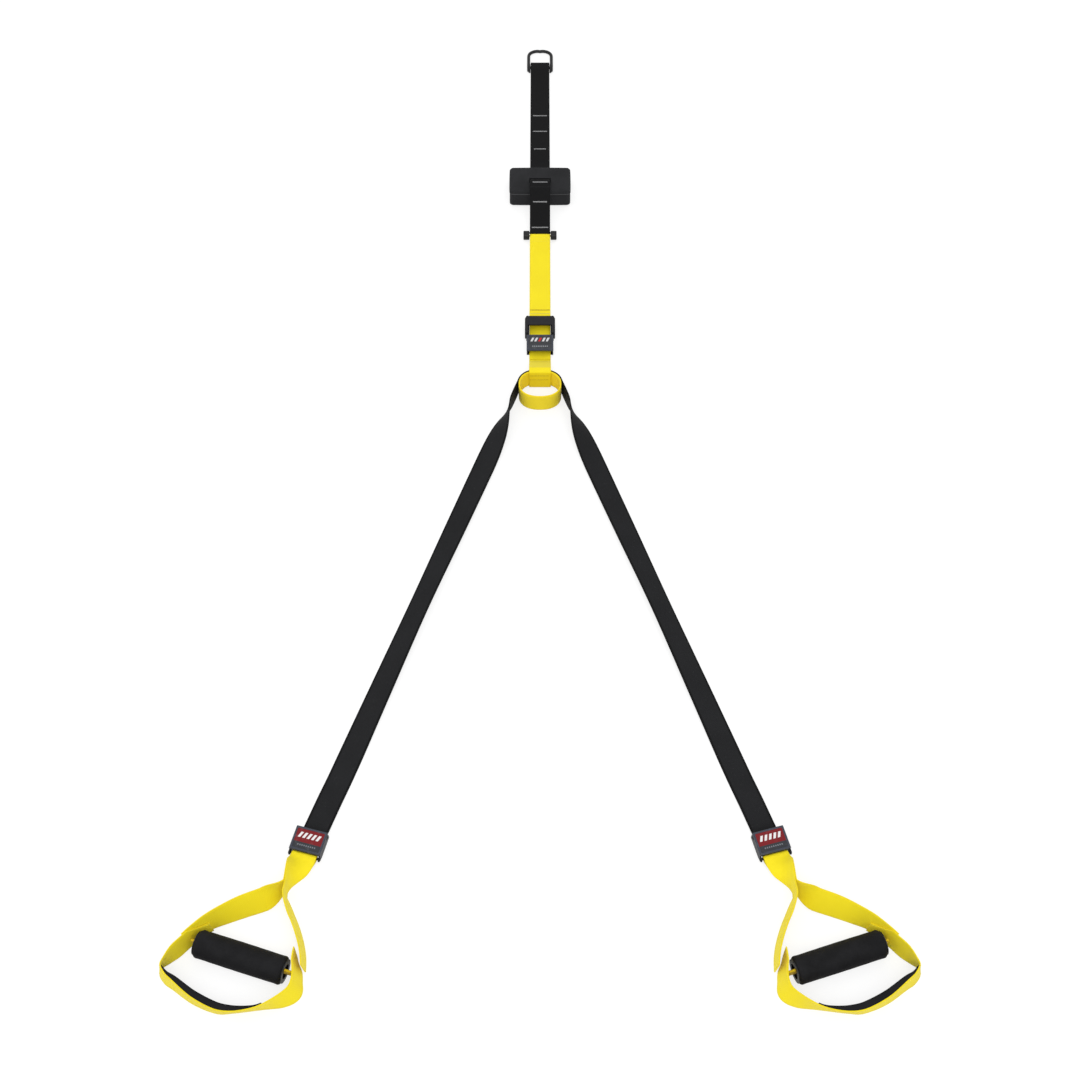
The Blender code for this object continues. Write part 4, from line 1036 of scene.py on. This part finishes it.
def branchFrames(side, shares):
    stations = []
    for acrossShare, downShare, lean, lift in shares:
        spot = handleSpot(side, acrossShare, downShare)
        stations.append((spot.x, spot.y, radians(lean), handleSpec["pinchLift"] * lift))
    run = smoothRun(stations, spanSteps)
    centre = handleSpot(side, *loopMiddleShares)
    frames = []
    for (x, y, lean, lift), (before, after) in zip(run, neighbours(run)):
        along = Vector((after[0] - before[0], after[1] - before[1], 0)).normalized()
        outward = upward.cross(along)
        if outward.dot(Vector((x, y, 0)) - centre) < 0:
            outward = -outward
        height = max(lift, 0.0) + halfWeb * cos(lean) + halfThick * abs(sin(lean))
        frames.append((Vector((x, y, height)), *turned(upward, outward, lean)))
    return frames


def twistFrames(side, layer):
    # From flat on the lower bar to upright at the pinch
    spec = handleSpec
    bar, outward, _ = lowerBar(side)
    pinch = handleSpot(side, *pinchShares)
    frames = []
    for share in spaced(0, 1, 3 * spanSteps):
        narrow = sin(pi * share ** spec["narrowStart"]) ** spec["narrowPower"]
        turn = pi / 2 * (ease(share) + spec["narrowing"] * narrow)
        across, normal = turned(outward, upward, turn)
        low = legSpec["barHeight"] + (spec["pinchLift"] - legSpec["barHeight"]) * share
        centre = bar.lerp(pinch, share) + upward * (low + halfWeb * sin(turn))
        spread = layerPitch / 2 + (barLoop - layerPitch / 2) * (1 - ease(share / spec["barTaper"]))
        frames.append((centre + normal * spread * layer, across, normal * layer))
    return frames


def barFrames(side):
    bar, outward, back = lowerBar(side)
    bar.z = legSpec["barHeight"]
    normals = [turned(back, upward, turn)[0] for turn in spaced(-pi / 2, pi / 2, handleSpec["barSteps"])[1:-1]]
    return [(bar + normal * barLoop, outward, normal) for normal in normals]


def foldFrames(start, end):
    # The lower layer turns straight from the twist into the leaning branch
    frames = []
    for share in spaced(0, 1, handleSpec["foldSteps"]):
        across, normal = (start[k].lerp(end[k], ease(share)).normalized() for k in (1, 2))
        frames.append((start[0].lerp(end[0], share), across, normal))
    return frames


def slantTops():
    # The foot strap's outer end is cut at a slant, so its upper edge starts low
    spec = slantSpec
    return [spec["start"] + (halfWeb - spec["start"]) * ease(i / spec["frames"]) for i in range(spec["frames"])]


def makeHandle(sideName, side):
    body, foldFrom, foldTo = "handle_" + sideName, handleSpec["foldFrom"], handleSpec["foldTo"]
    outer, inner, foot = (branchFrames(side, shares) for shares in (outerShares, innerShares, footShares))
    lower, upper = twistFrames(side, -1), twistFrames(side, 1)
    outerRun = lower[:foldFrom] + foldFrames(lower[foldFrom], outer[foldTo]) + outer[foldTo:]
    showAs(makeBand("handleWebbing_" + sideName, outerRun[::-1] + barFrames(side) + upper + inner, "yellowWebbing"),
           body, "yellow_webbing", "handle_strap_" + sideName)
    showAs(makeBand("footWebbing_" + sideName, foot, "yellowWebbing", tops=slantTops()),
           body, "yellow_webbing", "foot_strap_" + sideName)


footPadSpec = {"span": (5, 12), "width": 0.0360, "thick": 0.0105, "edge": 0.0022, "swell": 1.6, "sidePower": 0.32,
               "facePower": 0.62, "faceSteps": 18, "backSteps": 8, "smoothing": 10}


def makeFootPad(sideName, side):
    spec = footPadSpec
    frames = branchFrames(side, footShares)
    first, last = (index * spanSteps for index in spec["span"])
    half, reach = spec["width"] / 2, spec["smoothing"]
    section = [((1 if cos(turn) >= 0 else -1) * abs(cos(turn)) ** spec["sidePower"], sin(turn) ** spec["facePower"])
               for turn in spaced(0, pi, spec["faceSteps"])]
    section += [(a, 0.0) for a in spaced(-1, 1, spec["backSteps"])[1:-1]]
    run = squaredFrames(frames)
    facing = [normal if normal.dot(out) < 0 else -normal for (_, _, normal), (_, _, out) in zip(run, frames)]
    points = []
    for i, (centre, across, _) in enumerate(run[first:last + 1]):
        swell = spec["edge"] + (spec["thick"] - spec["edge"]) * sin(pi * i / (last - first)) ** spec["swell"]
        back = centre + facing[first + i] * (halfThick + fit)
        # the foam's face is smoother than the strap behind it
        near = facing[first + i - reach:first + i + reach + 1]
        inward = sum(near, Vector((0, 0, 0))).normalized()
        points += [back + across * half * a + inward * swell * b for a, b in section]
    rows, count = last - first + 1, len(section)
    pad = makePiece("footPad_" + sideName, points, skin(rows, count) + caps(rows, count), "footCloth")
    showAs(pad, "handle_" + sideName, "foot_pad", "foot_pad_" + sideName)


gripSpec = {"outer": (0.47974, -0.87922, 0.0200), "inner": (0.35190, -0.91920, 0.0200), "radius": 0.0200,
            "bore": 0.0135, "endGap": 0.0018, "endRound": 0.0042, "roundSteps": 8, "crown": 0.0004,
            "crownSteps": 30, "wave": 0.00006, "sides": 72, "coreWidth": 0.0190, "coreThick": 0.0036,
            "coreSteps": 60}


def gripEnds(side):
    outer, inner = (Vector((side * x, y, z)) for x, y, z in (gripSpec["outer"], gripSpec["inner"]))
    return outer, inner, (inner - outer).normalized()


def makeGrip(sideName, side):
    spec = gripSpec
    outer, inner, along = gripEnds(side)
    flat = along.cross(upward).normalized()
    start, stop = spec["endGap"], (inner - outer).length - spec["endGap"]
    bend, radius, crown, steps = spec["endRound"], spec["radius"], spec["crown"], spec["crownSteps"]
    quarter = spaced(0, pi / 2, spec["roundSteps"])
    lead = [(start + bend - bend * cos(t), radius - bend + bend * sin(t)) for t in quarter]
    close = [(stop - bend + bend * sin(t), radius - bend + bend * cos(t)) for t in quarter]
    body = [(lead[-1][0] + (close[0][0] - lead[-1][0]) * k / steps, radius - crown + crown * sin(pi * k / steps))
            for k in range(1, steps)]
    run = lead + body + close + [(stop, spec["bore"]), (start, spec["bore"])]
    points = []
    for k, (done, size) in enumerate(run):
        wavy = len(lead) <= k <= len(lead) + len(body)
        for turn in turns(spec["sides"]):
            wave = spec["wave"] * sin(5 * turn + done * 300) if wavy else 0.0
            points.append(outer + along * done + (flat * cos(turn) + upward * sin(turn)) * (size + wave))
    foam = makePiece("gripFoam_" + sideName, points, skin(len(run), spec["sides"], closed=True), "gripFoam")
    showAs(foam, "grip_" + sideName, "grip_foam", "grip_foam_" + sideName)


def makeCore(sideName, side):
    # The webbing that runs through the grip, seen between the grip's ends and the foot strap
    spec = gripSpec
    outer, _, along = gripEnds(side)
    normal = along.cross(upward)
    ends = [corner[0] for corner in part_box("core_strap_" + sideName)]
    if side > 0:
        ends.reverse()
    bulge = spec["coreThick"] / 2 * abs(normal.x)
    start, end = (outer + along * ((x - outer.x) / along.x) for x in (ends[0] - side * bulge, ends[1] + side * bulge))
    frames = [(start.lerp(end, share), upward, normal) for share in spaced(0, 1, spec["coreSteps"])]
    # its look is the yellow webbing made darker and orange: painted shade near the grip's ends
    showAs(makeBand("shadedCoreWebbing_" + sideName, frames, "shadedCoreWebbing", width=spec["coreWidth"],
                    thick=spec["coreThick"]),
           "handle_" + sideName, "yellow_webbing", "core_strap_" + sideName)


handleSeams = {"pitch": 0.0031, "length": 0.0026, "radius": 0.00030, "edge": 0.0150, "endRow": 2, "run": 24,
               "crossCount": 10, "slantCount": 5}


def rowAlong(frames, first, last, acrossAt):
    # Stitches in a row along a band, between two of its frames
    run = squaredFrames(frames)[first:last + 1]
    spots, done, wanted = [], 0.0, 0.0
    for (a, across, normal), (b, _, _) in zip(run, run[1:]):
        size = (b - a).length
        aim = (b - a) / size
        while wanted <= done + size:
            spot = a + aim * (wanted - done)
            spots.append((spot + across * acrossAt + normal * (halfThick + threadLift), aim))
            wanted += handleSeams["pitch"]
        done += size
    return spots


def rowAcross(frame, low, high, count, face=1):
    # Stitches in a row across a band, at one of its frames
    centre, across, normal = frame
    return [(centre + across * place + normal * face * (halfThick + threadLift), across)
            for place in spaced(low, high, count)]


def makeHandleSeams(sideName, side):
    seam, slant = handleSeams, slantSpec
    outer, inner, foot = (branchFrames(side, shares) for shares in (outerShares, innerShares, footShares))
    edges = (-seam["edge"], seam["edge"])
    spots = []
    for frames in (outer, inner, foot):
        last = len(frames) - seam["endRow"]
        ends = (last - seam["run"], last)
        runs = (ends, [index * spanSteps for index in footPadSpec["span"]]) if frames is foot else (ends,)
        spots += [spot for place in edges for run in runs for spot in rowAlong(frames, *run, place)]
        if frames is not foot:
            # across the branch, near its cut end
            spots += [spot for index in ends
                      for spot in rowAcross(squaredFrames(frames)[index], *edges, seam["crossCount"])]
    # the slanted end's rows, on the inner face
    run = squaredFrames(foot)
    edge = [run[i][0] + run[i][1] * (top - slant["inset"]) - run[i][2] * (halfThick + threadLift)
            for i, top in enumerate(slantTops())]
    spots += [(edge[i], (edge[i + 1] - edge[i]).normalized()) for i in range(1, len(edge) - 1, 2)]
    spots += rowAcross(run[1], slant["low"], slant["start"] - slant["inset"], seam["slantCount"], -1)
    showAs(makeStitches("handleSeams_" + sideName, spots, "yellowThread", seam["length"], seam["radius"]),
           "handle_" + sideName, "yellow_webbing")


# Lever plates: a raised rim round a painted field

plateSpec = {"top": 0.0183, "halfX": 0.0224, "halfY": 0.0166, "corner": 0.0026, "rim": 0.0017, "rise": 0.00045,
             "soft": 0.00015, "seat": 0.00002, "innerSharp": 0.0010, "fieldRise": 0.00022, "fieldGap": 0.0002,
             "fieldSharp": 0.0012}


def roundedRect(halfX, halfY, corner, steps=6):
    outline = []
    for turn, cx, cy in ((0, 1, 1), (1, -1, 1), (2, -1, -1), (3, 1, -1)):
        begin = turn * pi / 2
        outline += circleRun(cx * (halfX - corner), cy * (halfY - corner), corner, begin, begin + pi / 2, steps)
    return outline


def plateLine(inset, sharper=0.0):
    return roundedRect(plateSpec["halfX"] - inset, plateSpec["halfY"] - inset, plateSpec["corner"] - sharper)


def makePlateDress(prefix, body, matrix, lookName):
    spec = plateSpec
    rim, soft, sharp = spec["rim"], spec["soft"], spec["innerSharp"]
    low, high = spec["top"] + spec["seat"], spec["top"] + spec["rise"]
    loops = [(plateLine(inset, sharper), z) for inset, sharper, z in (
        (0.0, 0.0, low), (0.0, 0.0, high - soft), (soft, 0.0, high), (rim - soft, sharp, high),
        (rim, sharp, high - soft), (rim, sharp, low))]
    count = len(loops[0][0])
    points = [matrix @ Vector((x, y, z)) for line, z in loops for x, y in line]
    showAs(makePiece(prefix + "Rim", points, skin(len(loops), count, closed=True), "rimPaint"), body, "lever_plate")
    line = plateLine(rim + spec["fieldGap"], spec["fieldSharp"])
    points = [matrix @ Vector((x, y, z)) for z in (low, spec["top"] + spec["fieldRise"]) for x, y in line]
    cornerUv = line * 2
    for here, after in zip(line, line[1:] + line[:1]):
        cornerUv += [here, after, after, here]
    showAs(makePiece(prefix + "Field", points, caps(2, count) + skin(2, count), lookName, cornerUv),
           body, "lever_plate")


guideSpec = {"inner": 0.01935, "outer": 0.0217, "front": 0.0185, "back": 0.0525, "low": 0.0008, "high": 0.0034,
             "corner": 0.0008, "soft": 0.0003}


def makeGuides():
    # Two low rails in the centre buckle's window, which keep the strap between its walls
    spec = guideSpec
    halfX, halfY = (spec["outer"] - spec["inner"]) / 2, (spec["back"] - spec["front"]) / 2
    points, faces = [], []
    for _, side in sides:
        spot = (side * (spec["inner"] + halfX), centrePlateY + spec["front"] + halfY)
        outline = [(spot[0] + x, spot[1] + y) for x, y in roundedRect(halfX, halfY, spec["corner"])]
        softPrism(points, faces, outline, spot, spec["low"], spec["high"], spec["soft"])
    showAs(makePiece("centreGuides", points, faces, "casting"), "centre_buckle", "casting")


# Rivet heads: each place is forward, height and size on a buckle's wall

rivetSpec = {"wallOuter": 0.0235, "seat": 0.00005, "rise": 0.0011, "sides": 20,
             "profile": ((0.0, 1.0), (0.35, 0.98), (0.75, 0.80), (1.0, 0.45)),
             "pivot": (0.0130, 0.0100, 0.0029), "bar": (-0.0205, 0.0088, 0.0030)}


def makeRivets(prefix, body, matrix, *places):
    spec = rivetSpec
    rows, count = len(spec["profile"]), spec["sides"]
    points, faces = [], []
    for y, z, size in places:
        for _, side in sides:
            faces += skin(rows, count, len(points)) + caps(rows, count, len(points))
            for share, radius in spec["profile"]:
                x = side * (spec["wallOuter"] + spec["seat"] + spec["rise"] * share)
                points += [matrix @ Vector((x, y + size * radius * cos(turn), z + size * radius * sin(turn)))
                           for turn in turns(count)]
    showAs(makePiece(prefix + "Rivets", points, faces, "steel"), body, "steel")


anchorTop = makeAnchorStrap()
makeAnchorTacks(anchorTop)
makeRingWire()
makeRingCheeks()
makeDoorPad()
makePadPiping()
makeUpperSeamsAndFoldShadow(makeUpperStrap())
makeLowerStrap()
makeStabiliserRing()
makeSling()
makeWrap()
for sideName, side in sides:
    for makeOne in (makeLeg, makeHandle, makeFootPad, makeGrip, makeCore, makeHandleSeams):
        makeOne(sideName, side)
    makePlateDress("legPlate_" + sideName, "leg_lever_" + sideName, plateMatrix(side), "legField")
    makeRivets("legBuckle_" + sideName, "leg_buckle_" + sideName, plateMatrix(side), rivetSpec["pivot"],
               rivetSpec["bar"])
centreMatrix = Matrix.Translation((0, centrePlateY, 0))
makeGuides()
makePlateDress("centrePlate", "centre_lever", centreMatrix, "centreField")
makeRivets("centreBuckle", "centre_buckle", centreMatrix, rivetSpec["pivot"])
print("straps, pads, grips and plates made")

# CAD nodes that keep their shape

nodeLooks = {
    "link_pin": "steel", "pivot_pin": "steel", "_spring": "steel", "_bar": "steel", "link_knob": "plastic",
    "grip_cap": "plastic", "grip_tube": "tube", "_frame": "casting", "_lever": "leverPaint",
}
for nodeName, node in frame["nodes"].items():
    for key, lookName in nodeLooks.items():
        if key in nodeName:
            node.data.materials.clear()
            node.data.materials.append(looks[lookName])

# Floor, sky and lamps

stageSpec = {"half": 7.0, "paper": (0.80, 0.80, 0.80), "dim": (0.30, 0.30, 0.30), "glow": 0.74, "sky": 0.75}
white = (1.0, 1.0, 1.0)


def seenBare(tree):
    # 1 where the camera or a reflection looks at it, 0 where it lights the object
    path = addNode(tree, "ShaderNodeLightPath").outputs
    return calc(tree, "MAXIMUM", path["Is Camera Ray"], path["Is Glossy Ray"])


def makeFloor(spec):
    half = spec["half"]
    mesh = bpy.data.meshes.new("studioFloor")
    mesh.from_pydata([(-half, -half, 0.0), (half, -half, 0.0), (half, half, 0.0), (-half, half, 0.0)], [],
                     [(0, 1, 2, 3)])
    look, tree, shader = startLook("studioFloor")
    tree.nodes.remove(shader)
    output = next(node for node in tree.nodes if node.type == "OUTPUT_MATERIAL")
    paper, dim = (addNode(tree, "ShaderNodeBsdfDiffuse", {"Color": spec[key]}) for key in ("paper", "dim"))
    glow = addNode(tree, "ShaderNodeEmission", {"Color": white, "Strength": spec["glow"]})
    both = addNode(tree, "ShaderNodeAddShader", {0: dim.outputs[0], 1: glow.outputs[0]})
    mix = addNode(tree, "ShaderNodeMixShader", {0: seenBare(tree), 1: paper.outputs[0], 2: both.outputs[0]})
    feed(tree, mix.outputs[0], output.inputs["Surface"])
    mesh.materials.append(look)
    addObject("studioFloor", mesh)


def makeSky(strength):
    world = bpy.data.worlds.new("studioSky")
    world.use_nodes = True
    tree = world.node_tree
    background = tree.nodes["Background"]
    feed(tree, white, background.inputs["Color"])
    feed(tree, remap(tree, seenBare(tree), 0.0, 1.0, strength, 1.0), background.inputs["Strength"])
    scene.world = world


lampSpecs = (
    {"name": "softboxFront", "place": (0.3, -2.0, 2.6), "aim": (0.0, -0.2, 0.0), "size": 2.2, "power": 34.0},
    {"name": "softboxAbove", "place": (0.0, 1.0, 3.0), "aim": (0.0, 0.0, 0.0), "size": 2.2, "power": 14.0},
    {"name": "softboxLeft", "place": (-2.4, -0.6, 1.9), "aim": (0.0, -0.3, 0.0), "size": 1.4, "power": 10.0},
)


def makeLamp(spec):
    data = bpy.data.lights.new(spec["name"], "AREA")
    data.shape, data.size, data.energy = "SQUARE", spec["size"], spec["power"]
    aimAt(addObject(spec["name"], data), spec["place"], spec["aim"])


makeFloor(stageSpec)
makeSky(stageSpec["sky"])
for lampSpec in lampSpecs:
    makeLamp(lampSpec)
scene.view_settings.view_transform = "Standard"
print("studio set")
